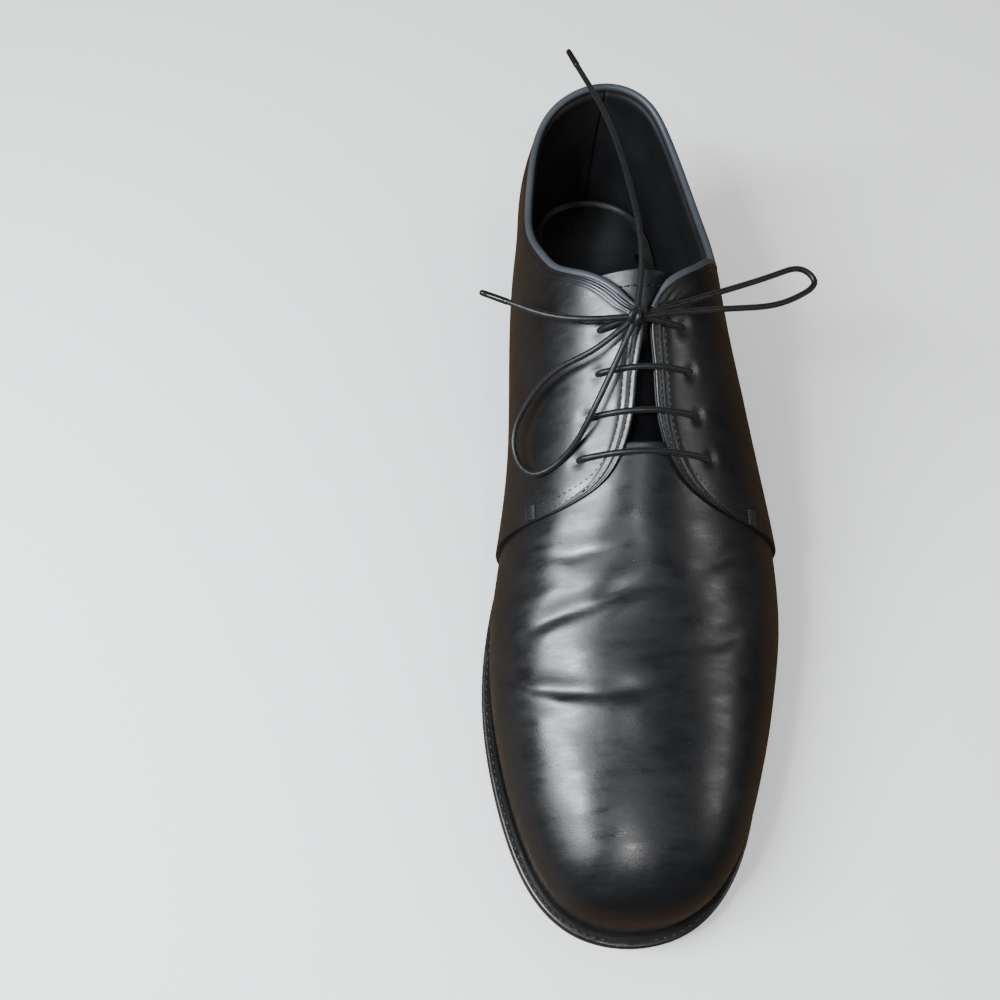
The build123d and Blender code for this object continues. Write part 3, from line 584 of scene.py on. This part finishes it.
def build_quarter(side):
    hand = "lateral" if side > 0 else "medial"
    front_y = (LATERAL_FACING if side > 0 else MEDIAL_FACING)[-1][1]
    t, v, s = quarter_grid(side, front_y, 190, 64)
    places = last_point(t, v, s)
    y, z = places[:, 1], places[:, 2]
    lift = dimples(places + last_normal(t, v, s) * QUARTER_FRONT_OUT, side)
    waves = np.sin(y / 13 + z / 19) * np.sin(z / 15 - y / 31)
    lift += 0.35 * waves * ramp(y, -110, 0.4, -40, 1) * ramp(z, 85, 0.2, 60, 1)
    piece = leather(
        f"quarter_{hand}", t, v, s, quarter_out(y), UPPER, UPPER_CALF, "rear_shoe",
        lift, 0.55, side < 0, SEAMS,
    )
    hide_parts(f"quarter_{hand}")

    t, v, s = quarter_grid(side, -126.5, 130, 40)
    y = last_point(t, v, s)[:, 1]
    up = np.broadcast_to(np.linspace(0, 1, t.shape[1]), t.shape).ravel()
    deep = ramp(y, -95, LINING_FRONT_OUT, -40, LINING_REAR_OUT)
    near_rim = ramp(y, -95, LINING_FRONT_OUT, -40, -1.4)
    out = deep + (near_rim - deep) * ramp(up, 0.82, 0, 0.95, 1)
    piece = leather(
        f"quarter_lining_{hand}", t, v, s, out, LINING, LINING_SKIN, "rear_shoe",
        roll=0.3, flip=side < 0,
    )
    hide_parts(f"quarter_lining_{hand}")


# ---------------------------------------------------------------- round pieces
def carry(points):
    """Tangent, side and up directions carried smoothly along a line."""
    tangent = unit(np.gradient(points, axis=0))
    side = np.zeros_like(points)
    start = np.cross(tangent[0], (0.31, 0.2, 0.93))
    side[0] = start / np.linalg.norm(start)
    for i in range(1, len(points)):
        s = side[i - 1] - tangent[i] * np.dot(side[i - 1], tangent[i])
        side[i] = s / np.linalg.norm(s)
    return tangent, side, np.cross(tangent, side)


def tube(points, radius, around=12, twist=0.0, plies=3, ridge=0.0):
    """Vertices and faces of a closed round cord; twist is turns per mm."""
    points = np.asarray(points, float)
    radius = np.broadcast_to(radius, len(points))
    tangent, side, up = carry(points)
    run = np.r_[0, np.cumsum(np.linalg.norm(np.diff(points, axis=0), axis=1))]
    angle = np.linspace(0, 2 * np.pi, around, endpoint=False)
    winding = angle[None, :] - 2 * np.pi * twist * run[:, None]
    ring = radius[:, None] * (1 + ridge * np.abs(np.cos(plies / 2 * winding)) - ridge / 2)
    reach = side[:, None] * (ring * np.cos(angle))[..., None]
    rise = up[:, None] * (ring * np.sin(angle))[..., None]
    vertices = (points[:, None] + reach + rise).reshape(-1, 3)
    faces = []
    for i in range(len(points) - 1):
        for j in range(around):
            k = (j + 1) % around
            faces.append((i * around + j, i * around + k, (i + 1) * around + k, (i + 1) * around + j))
    faces.append(tuple(range(around))[::-1])
    faces.append(tuple(range((len(points) - 1) * around, len(points) * around)))
    return vertices, faces


def joined(parts):
    """Several vertex and face lists as one."""
    vertices, faces, start = [], [], 0
    for v, f in parts:
        vertices.append(v)
        faces += [tuple(i + start for i in face) for face in f]
        start += len(v)
    return np.concatenate(vertices), faces


def cord(points, step=0.5, radius=LACE_RADIUS):
    """Twisted lace along a smooth line through points."""
    length = np.linalg.norm(np.diff(np.asarray(points, float), axis=0), axis=1).sum()
    return tube(spline(points, max(8, int(length / step))), radius, 14, 0.24, 4, 0.14)


def build_binding():
    """Folded strip over the top line, from one facing round the heel to the other."""
    lines = []
    for side in (MEDIAL, LATERAL):
        edge = quarter_edge(side, -84, 150)
        p, n = last_point(edge[:, 0], edge[:, 1], side), last_normal(edge[:, 0], edge[:, 1], side)
        middle = ramp(p[:, 1], -95, 0.2, -45, -1.2)
        p = p + n * middle[:, None]
        tangent = unit(np.gradient(p, axis=0))
        outward = unit(np.cross(n, tangent)) * side
        outward *= np.sign((outward * (-side, 0.5, 1)).sum(1))[:, None]
        lines.append(p + outward * 0.35)
    path = np.r_[lines[0][::-1], lines[1][1:]]
    path = spline(path[::3], 420)
    size = np.linspace(0, 1, len(path))
    taper = np.clip(np.minimum(size, 1 - size) * 30, 0.55, 1)
    vertices, faces = tube(path, 1.35 * taper, 14)
    piece = make_object("topline_binding_folded", vertices, faces, EDGE_CALF_PAINTED_SHEEN, "rear_shoe")
    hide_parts("topline_binding")


def build_back_strip():
    u = np.linspace(-0.26, 0.26, 15)
    z = np.linspace(0, 1, 60)
    t = np.repeat(np.abs(u)[:, None], 60, 1)
    side = np.where(np.repeat(u[:, None], 60, 1) > 0, LATERAL, MEDIAL)
    low, high = (
        solve(lambda v: last_point(np.abs(u), v, np.sign(u))[:, 2] - end, np.zeros(15), np.ones(15))
        for end in (31.0, 91.0)
    )
    v = low[:, None] + (high - low)[:, None] * z[None, :]
    out = np.full(t.size, BACK_STRIP)
    piece = leather(
        "back_strip_calf", t, v, side, out, BACK_STRIP, UPPER_CALF, "rear_shoe", roll=0.4,
    )
    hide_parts("back_strip")


# ---------------------------------------------------------------- tongue
def rides_tongue(piece):
    """Bakes the piece's placement into its mesh."""
    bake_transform(piece)


def tongue_dip(s):
    """Dip of the tongue's top edge and rounding of its corners, by share across."""
    return 4.5 * s**2 - 12 * s**10


def build_tongue():
    columns, rows = 61, 70
    s = np.linspace(-1, 1, columns)
    f = levels(rows, 60.0, low=False)
    for name, lower, depth, thick, skin, start_y, slot in (
        ("tongue_calf", "tongue", 0.0, 1.4, TONGUE_CALF_PAINTED_SHADE, TONGUE_FRONT_Y, "upper_leather"),
        ("tongue_lining_skin", "tongue_lining", -1.5, 0.9, LINING_SKIN, -126.0, "lining_leather"),
    ):
        t_all, v_all = [], []
        for share in f:
            y = start_y + (TONGUE_TOP_Y + tongue_dip(s) - start_y) * share
            half = ramp(y, TONGUE_FRONT_Y, TONGUE_FRONT_HALF, TONGUE_TOP_Y, TONGUE_TOP_HALF)
            t = t_at(y)
            centre = station(t)[:, 5]
            x = np.where(np.abs(s) < 1e-6, centre, CENTRE + s * half)
            side = np.where(x > centre, LATERAL, MEDIAL)
            low, high = np.full(t.shape, 0.3), np.ones(t.shape)
            v = solve(lambda v: side * (x - last_point(t, v, side)[:, 0]), low, high)
            t_all.append(t)
            v_all.append(v)
        t, v = np.array(t_all), np.array(v_all)
        sides = np.broadcast_to(side, t.shape)
        y = last_point(t, v, sides)[:, 1]
        out = ramp(y, -127, -1.5, -112, TONGUE_OUT) + depth
        puff = 0.5 * np.sin(y / 9) * np.cos(np.broadcast_to(s, t.shape).ravel() * 2.2)
        piece = leather(name, t, v, sides, out, thick, skin, None, puff, 0.45)
        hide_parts(lower)
        rides_tongue(piece)


build_vamp()
for hand in (LATERAL, MEDIAL):
    build_quarter(hand)
build_binding()
build_back_strip()
build_tongue()


# ---------------------------------------------------------------- sole, welt and heel
def margin_at(y):
    return ramp(y, -150, WELT_MARGIN, -95, WAIST_MARGIN)


def outline(t, inset, follow_feather=False):
    """Plan outline points on both sides at stations t, moved in from the welt's edge."""
    halves = []
    for side in (LATERAL, MEDIAL):
        p = last_point(t, 0, side)
        ahead = last_point(t + 0.01, 0, side) - last_point(t - 0.01, 0, side)
        across = unit(np.stack([-side * ahead[:, 1], side * ahead[:, 0], 0 * t], 1))
        out = -inset if follow_feather else margin_at(p[:, 1]) - inset
        halves.append(p + across * np.broadcast_to(out, t.shape)[:, None])
    return halves


def slab(name, t, loops, material, body, across=12, ring=False):
    """Sole layer from a stack of outlines, bottom to top; each loop gives (lateral, medial)."""
    vertices, faces = [], []
    count = len(t)
    around = 2 * count
    for lateral, medial in loops:
        vertices.append(np.r_[lateral, medial[::-1]])
    pairs = list(zip(range(len(loops)), range(1, len(loops))))
    if ring:
        pairs.append((len(loops) - 1, 0))
    for a, b in pairs:
        for j in range(around):
            k = (j + 1) % around
            faces.append((a * around + j, b * around + j, b * around + k, a * around + k))
    start = len(loops) * around
    if not ring:
        for level, flip in ((0, True), (len(loops) - 1, False)):
            lateral, medial = loops[level]
            share = np.linspace(0, 1, across)[1:-1]
            inside = lateral[:, None] + (medial - lateral)[:, None] * share[None, :, None]
            vertices.append(inside.reshape(-1, 3))
            index = np.zeros((count, across), int)
            index[:, 0] = level * around + np.arange(count)
            index[:, -1] = level * around + around - 1 - np.arange(count)
            index[:, 1:-1] = start + np.arange(count * (across - 2)).reshape(count, across - 2)
            start += count * (across - 2)
            for i in range(count - 1):
                for j in range(across - 1):
                    quad = (index[i, j], index[i, j + 1], index[i + 1, j + 1], index[i + 1, j])
                    faces.append(tuple(int(q) for q in (quad if flip else quad[::-1])))
    return make_object(name, np.concatenate(vertices), faces, material, body)


def at_depth(halves, depth):
    """Outline points lowered to a depth below the feather."""
    return [h - (0, 0, depth) for h in halves]


TOE_SHARES = 1 - (1 - np.linspace(0.02, 1, 30)) ** 1.6
SOLE_T = np.concatenate([np.linspace(0.001, 14, 150), 14 + 0.995 * TOE_SHARES])

# profiles of edges, bottom to top: depth below the feather and inset from the welt's edge
OUTSOLE_PROFILE = ((7.7, 1.2), (7.6, 0.6), (7.2, 0.15), (6.4, 0.0), (4.6, 0.0), (4.0, 0.1), (3.75, 0.4))
WELT_PROFILE = ((3.65, 0.5), (3.4, 0.15), (2.9, 0.0), (1.6, 0.0), (1.1, 0.15), (0.85, 0.55), (0.78, 1.1))
# the sock liner: height over the feather and inset from the feather
SOCK_PROFILE = (
    (0.2, 5.2), (0.6, 4.6), (1.0, 4.5), (1.25, 4.8), (1.3, 5.5), (1.3, 6.6), (1.3, 8.2), (1.3, 10.5),
)


def build_sole():
    loops = [at_depth(outline(SOLE_T, inset), depth) for depth, inset in OUTSOLE_PROFILE]
    piece = slab("outsole", SOLE_T, loops, SOLE_EDGE, None, 24)
    piece.data.materials.append(SOLE_LEATHER)
    normals = np.zeros(len(piece.data.polygons) * 3)
    piece.data.polygons.foreach_get("normal", normals)
    tread = (np.abs(normals.reshape(-1, 3)[:, 2]) > 0.9).astype(int)
    piece.data.polygons.foreach_set("material_index", tread)
    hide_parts("outsole_forepart", "outsole_rear")
    flexes(piece)

    loops = [at_depth(outline(SOLE_T, inset), depth) for depth, inset in WELT_PROFILE]
    loops.append(at_depth(outline(SOLE_T, 1.8, True), 0.8))
    loops.append(at_depth(outline(SOLE_T, 1.8, True), 3.6))
    piece = slab("welt", SOLE_T, loops, SOLE_EDGE, None, ring=True)
    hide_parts("welt_forepart", "welt_rear")
    flexes(piece)

    loops = []
    for height, inset in SOCK_PROFILE:
        curl = np.clip((10.5 - inset) / 6.0, 0, 1) ** 2
        halves = []
        for half in outline(SOLE_T, inset, True):
            rise = height + curl * ramp(half[:, 1], -20, 0.3, 18, 2.6)
            halves.append(half + np.stack([0 * rise, 0 * rise, rise], 1))
        loops.append(halves)
    piece = slab("sock_liner", SOLE_T, loops, SOCK_SKIN, None, 24)
    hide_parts("sock_liner_forepart", "sock_liner_rear")
    flexes(piece)


def build_heel():
    t = np.concatenate([np.linspace(0.001, 3.0, 40), np.linspace(3.06, t_at(BREAST_Y)[0], 12)])
    lift = (HEEL_SEAT_Z - TOP_PIECE) / 3
    stack = [("heel_top_piece", 0.0, TOP_PIECE, RUBBER, "heel_rubber")]
    for k, name in enumerate(("heel_lift_lower", "heel_lift_middle", "heel_lift_upper")):
        stack.append((name, TOP_PIECE + k * lift, TOP_PIECE + (k + 1) * lift, SOLE_EDGE, "heel_leather"))
    for name, low, high, skin, slot in stack:
        loops = []
        profile = ((low + 0.05, 0.55), (low + 0.2, 0.2), (low + 0.5, 0.05))
        profile += ((high - 0.5, 0.05), (high - 0.25, 0.2), (high - 0.1, 0.5))
        for z, tuck in profile:
            inset = tuck + (HEEL_SEAT_Z - z) * HEEL_TAPER + 0.25
            halves = outline(t, inset)
            last = name == "heel_lift_upper" and z > high - 1
            seat = station(t)[:, 2] - OUTSOLE_BOTTOM - HEEL_SEAT_Z if last else 0 * t
            loops.append([np.c_[h[:, :2], z + seat] for h in halves])
        piece = slab(f"{name}_stacked", t, loops, skin, "rear_shoe", 16)
        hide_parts(name)


build_sole()
build_heel()


# ---------------------------------------------------------------- stitching
def stitches(name, line, normal, body, pitch, length, radius):
    """A row of separate thread stitches, each a small rounded bar lying on the leather."""
    run = np.r_[0, np.cumsum(np.linalg.norm(np.diff(line, axis=0), axis=1))]
    parts = []
    for start in np.arange(0, run[-1] - length, pitch):
        u = start + length * np.array([0, 0.08, 0.25, 0.5, 0.75, 0.92, 1])
        p = np.stack([np.interp(u, run, line[:, k]) for k in range(3)], 1)
        n = np.stack([np.interp(u, run, normal[:, k]) for k in range(3)], 1)
        bow = np.array([-0.53, -0.13, 0.06, 0.12, 0.06, -0.13, -0.53])
        parts.append(tube(p + n * bow[:, None], radius * np.array([0.6, 0.9, 1, 1, 1, 0.9, 0.6]), 8))
    vertices, faces = joined(parts)
    return make_object(name, vertices, faces, THREAD, body)


def facing_line(side, inset, start_y):
    """A line at a distance inside one quarter's facing edge, and its normals."""
    edge = quarter_edge(side, -150, 600)
    p = last_point(edge[:, 0], edge[:, 1], side)
    n = last_normal(edge[:, 0], edge[:, 1], side)
    tangent = unit(np.gradient(p, axis=0))
    inward = unit(np.cross(n, tangent))
    inward *= np.sign((inward * (side, 0.6, -0.2)).sum(1))[:, None]
    moved = p + inward * inset
    keep = moved[:, 1] < start_y
    keep &= edge[:, 0] > t_at(-78)[0]
    moved = moved[keep]
    side_x = side * (moved[:, 0] - CENTRE)
    t, v = spot(side_x, moved[:, 1], side)
    n = last_normal(t, v, side)
    lifted = last_point(t, v, side) + n * quarter_out(moved[:, 1])[:, None]
    count = 220
    line = spline(lifted[::6], count)
    run = np.linspace(0, 1, len(n))
    at = np.linspace(0, 1, count)
    return line, unit(np.stack([np.interp(at, run, n[:, k]) for k in range(3)], 1))


def build_stitching():
    for side, hand in ((LATERAL, "lateral"), (MEDIAL, "medial")):
        for (inset, depth), label in zip(SEAMS, ("edge", "inner")):
            line, normal = facing_line(side, inset, -85 - inset)
            line = line - normal * depth
            stitches(f"topstitch_{label}_{hand}", line, normal, "rear_shoe", 2.3, 1.75, 0.25)

        corner = (LATERAL_FACING if side > 0 else MEDIAL_FACING)[-1]
        parts = []
        for k in range(9):
            y = corner[1] + 0.9 + 0.55 * k
            reach = np.array([-1.5, -1.0, 0, 1.0, 1.5]) + corner[0] - 2.6
            t, v = spot(reach, np.full(5, y), side)
            rise = QUARTER_FRONT_OUT + np.array([-0.3, 0.22, 0.42, 0.22, -0.3])
            p = last_point(t, v, side) + last_normal(t, v, side) * rise[:, None]
            parts.append(tube(spline(p, 9), 0.33, 8))
        vertices, faces = joined(parts)
        piece = make_object(f"corner_tack_{hand}_thread", vertices, faces, THREAD, "rear_shoe")
        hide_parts(f"corner_tack_{hand}")

    s = np.linspace(-0.86, 0.86, 120)
    y = TONGUE_TOP_Y - 4.6 + tongue_dip(s)
    x = 27.5 * s
    hand = np.where(x > 0, LATERAL, MEDIAL)
    t, v = spot(np.abs(x), y, hand)
    normal = last_normal(t, v, hand)
    line = spline((last_point(t, v, hand) + normal * TONGUE_OUT)[::8], 120)
    piece = stitches("tongue_topstitch", line, normal, None, 2.3, 1.75, 0.24)
    rides_tongue(piece)

    t = np.linspace(4.2, TIP - 0.3, 500)
    for side, hand in ((LATERAL, "lateral"), (MEDIAL, "medial")):
        line = outline(t, 1.7)[0 if side > 0 else 1] - (0, 0, WELT_TOP)
        normal = np.tile((0.0, 0.0, 1.0), (len(line), 1))
        flexes(stitches(f"welt_stitch_{hand}", line, normal, None, 3.0, 2.4, 0.3))


build_stitching()


# ---------------------------------------------------------------- the lace
LACE_OVER = QUARTER_FRONT_OUT + LACE_RADIUS - 0.1


def bar(row):
    """Points of a straight bar of lace from one eyelet to the other."""
    points = []
    for side in (MEDIAL, LATERAL):
        y, medial, lateral = EYELET_ROWS[row]
        reach = lateral if side > 0 else medial
        half = [eyelet_point(row, side, -2.6), eyelet_point(row, side, 0.6)]
        for share in (0.9, 0.7, 0.45):
            t, v = spot(reach * share, y, side)
            half.append((last_point(t, v, side) + last_normal(t, v, side) * LACE_OVER)[0])
        points += half if side < 0 else half[::-1]
    return np.array(points)


def to_knot(side):
    """Points of the strand from a top eyelet up into the knot."""
    start = eyelet_point(0, side, -2.6)
    rise = eyelet_point(0, side, 0.8)
    over = eyelet_point(0, side, LACE_OVER + 0.3)
    lean = over + (KNOT - over) * 0.3
    arch = over + (KNOT - over) * 0.65 + (0, 0, 0.4)
    return np.array([start, rise, lean, arch, KNOT + (side * 1.0, 0, -0.8)])


WRAPS = (       # turns of the knot: two directions of the ring, radius, shift from the middle
    ((1, 0.15, 0.0), (0.0, 0.55, 1), 2.25, (0.6, 0.2, 0.2)),
    ((0.7, 0.7, 0.1), (-0.3, 0.2, 1), 2.0, (-0.7, -0.3, 0.5)),
    ((0.2, 1.0, 0.3), (0.2, -0.35, 1), 2.1, (0.0, 0.0, -0.2)),
)


def build_lacing():
    parts = [cord(bar(row)) for row in (1, 2, 3)]
    parts += [cord(to_knot(side)) for side in (LATERAL, MEDIAL)]
    turn = np.linspace(0, 2 * np.pi, 40)
    for across, up, size, shift in WRAPS:
        a, b = unit(np.array(across, float)), unit(np.array(up, float))
        ring = np.cos(turn)[:, None] * a + np.sin(turn)[:, None] * b * 1.05
        parts.append(tube(KNOT + np.array(shift) + size * ring, LACE_RADIUS, 14, 0.24, 4, 0.14))
    parts.append(cord([KNOT + (-2.6, -2.2, -0.4), KNOT + (0, 0.3, 0.8), KNOT + (2.8, 1.2, -0.2)]))
    vertices, faces = joined(parts)
    piece = make_object("lacing_and_knot", vertices, faces, LACE_CORD, "rear_shoe")
    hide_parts("lace_through_eyelets")


BOW = {         # piece: body, points of the cord from the knot outward
    "bow_loop_lateral": ("loop_lateral", (
        (27, -77.5, 106), (48.5, -67.5, 103), (58, -65.5, 101), (60.5, -68.5, 100), (55.5, -74, 99.5),
        (44.5, -79.5, 101), (29, -83.5, 104.5),
    )),
    "bow_loop_medial": ("loop_medial", (
        (-17.5, -97, 99), (-26, -97.6, 91), (-36.8, -102.5, 74), (-40.5, -109, 66), (-39.8, -117, 63),
        (-35, -124, 64.5), (-27, -123.7, 71), (-17.5, -115.5, 87),
    )),
    "lace_end_medial": ("end_medial", ((-20.4, -88.3, 105.5), (-33, -84, 102.5), (-42.5, -78, 100))),
    "lace_end_rear": ("end_rear", (
        (-0.1, -66, 113), (-1.1, -45.5, 114), (-3.5, -21, 112), (-7, 5, 107), (-13, 34.5, 99.5),
    )),
}
AGLET_TIPS = {"lace_end_medial": (-51.4, -72.5, 98), "lace_end_rear": (-17.5, 52, 96.5)}
ROOT = 2.2      # the cords start this far from the knot's middle
AGLET_RUN = np.array([1.5, 1.6, 1.9, 3.0, 3.2, 3.4, 8, 10.6, 10.8, 11.0, 12.1, 12.5])
AGLET_RADII = np.array([0.85, 1.1, 1.18, 1.18, 1.08, 1.16, 1.12, 1.1, 1.02, 1.08, 1.0, 0.6])


def build_bow():
    for name, (body, way) in BOW.items():
        way = np.array(way, float)
        first = KNOT + unit(way[0] - KNOT) * ROOT
        points = [first, *way]
        if name in AGLET_TIPS:
            tip = np.array(AGLET_TIPS[name], float)
            along = unit(tip - way[-1])
            points.append(way[-1] + along * 2.4)
        else:
            points.append(KNOT + unit(way[-1] - KNOT) * ROOT)
        vertices, faces = cord(points)
        piece = make_object(f"{name}_cord", vertices, faces, LACE_CORD, body)
        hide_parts(name)
        if name in AGLET_TIPS:
            vertices, faces = tube(way[-1] + along * AGLET_RUN[:, None], AGLET_RADII, 16)
            tip_name = name.replace("lace_end", "aglet")
            piece = make_object(f"{tip_name}_sleeve", vertices, faces, TIP_PLASTIC, body)
            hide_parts(tip_name)


build_lacing()
build_bow()

# ---------------------------------------------------------------- materials of the hidden frame pieces
HIDDEN = {
    "insole_forepart": BOARD, "insole_rear": BOARD, "cork_filler_forepart": CORK, "cork_filler_rear": CORK,
    "shank": STEEL, "heel_nails": STEEL, "toe_puff": STIFFENER, "heel_counter": STIFFENER,
    "blind_eyelets_lateral": BRASS, "blind_eyelets_medial": BRASS,
}
for node, material in HIDDEN.items():
    mesh = frame["nodes"][node].data
    mesh.materials.clear()
    mesh.materials.append(material)

# ---------------------------------------------------------------- floor, light and camera
def build_stage():
    bpy.ops.mesh.primitive_plane_add(size=6, location=(0, 0, -0.0002))
    floor = bpy.context.object
    floor.name = "floor"
    material, tree, node = shader("pale_floor_painted_reflection")
    node.inputs["Roughness"].default_value = 0.7
    # Painted reflection: glossy rays see a brown floor instead of the pale one, so the shoe's sides
    # reflect a brown floor.
    ray = tree.nodes.new("ShaderNodeLightPath")
    painted_reflection_tint = mix_colour(tree, ray.outputs["Is Glossy Ray"], (0.94, 0.94, 0.94), (0.085, 0.046, 0.012))
    tree.links.new(painted_reflection_tint, node.inputs["Base Color"])
    floor.data.materials.append(material)

    world = bpy.context.scene.world or bpy.data.worlds.new("studio")
    bpy.context.scene.world = world
    world.use_nodes = True
    tree = world.node_tree
    sky = tree.nodes["Background"]
    sky.inputs["Color"].default_value = (1, 1, 1, 1)
    sky.inputs["Strength"].default_value = 0.9
    dim = tree.nodes.new("ShaderNodeBackground")
    dim.inputs["Color"].default_value = (0.75, 0.87, 1, 1)
    dim.inputs["Strength"].default_value = 0.06
    ray = tree.nodes.new("ShaderNodeLightPath")
    mixed = tree.nodes.new("ShaderNodeMixShader")
    tree.links.new(ray.outputs["Is Glossy Ray"], mixed.inputs["Fac"])
    tree.links.new(sky.outputs["Background"], mixed.inputs[1])
    tree.links.new(dim.outputs["Background"], mixed.inputs[2])
    tree.links.new(mixed.outputs["Shader"], tree.nodes["World Output"].inputs["Surface"])


def area_light(name, place, target, size, power, colour=(1, 1, 1), long=(0, 0, 1)):
    """Rectangular light at place, facing target, with its long side along a direction."""
    light = bpy.data.lights.new(name, "AREA")
    light.shape = "RECTANGLE"
    light.size, light.size_y = size
    light.energy = power
    light.color = colour
    lamp = bpy.data.objects.new(name, light)
    bpy.context.scene.collection.objects.link(lamp)
    back = (Vector(place) - Vector(target)).normalized()
    across = Vector(long).cross(back).normalized()
    lamp.matrix_world = Matrix((across, back.cross(across), back)).transposed().to_4x4()
    lamp.location = place


def build_camera():
    camera = bpy.data.cameras.new("camera")
    camera.lens, camera.sensor_width = 36.8, 36.0
    camera.shift_x, camera.shift_y = 0.0644, -0.0339
    holder = bpy.data.objects.new("camera", camera)
    bpy.context.scene.collection.objects.link(holder)
    holder.location = (-0.0672, -0.2854, 0.3787)
    holder.rotation_euler = (math.radians(90 - 62.4), math.radians(0.1), math.radians(0.1))
    camera.clip_start = 0.01
    bpy.context.scene.camera = holder


build_stage()
area_light(
    "window", (-0.49, -0.27, 0.54), (-0.02, -0.19, 0.05), (0.11, 0.42), 8.2, (0.88, 0.95, 1.0),
    (0.25, -0.2, 0.21),
)
area_light("lamp", (0.04, -0.52, 0.7), (0, -0.24, 0.04), (0.04, 0.04), 0.8)
area_light("window_top", (-0.37, -0.37, 0.66), (-0.02, -0.23, 0.045), (0.05, 0.08), 1.9, (0.9, 0.96, 1.0))
area_light("right_fill", (0.6, -0.3, 0.44), (0, -0.15, 0.05), (0.18, 0.18), 0.5, (1.0, 0.97, 0.93))
build_camera()
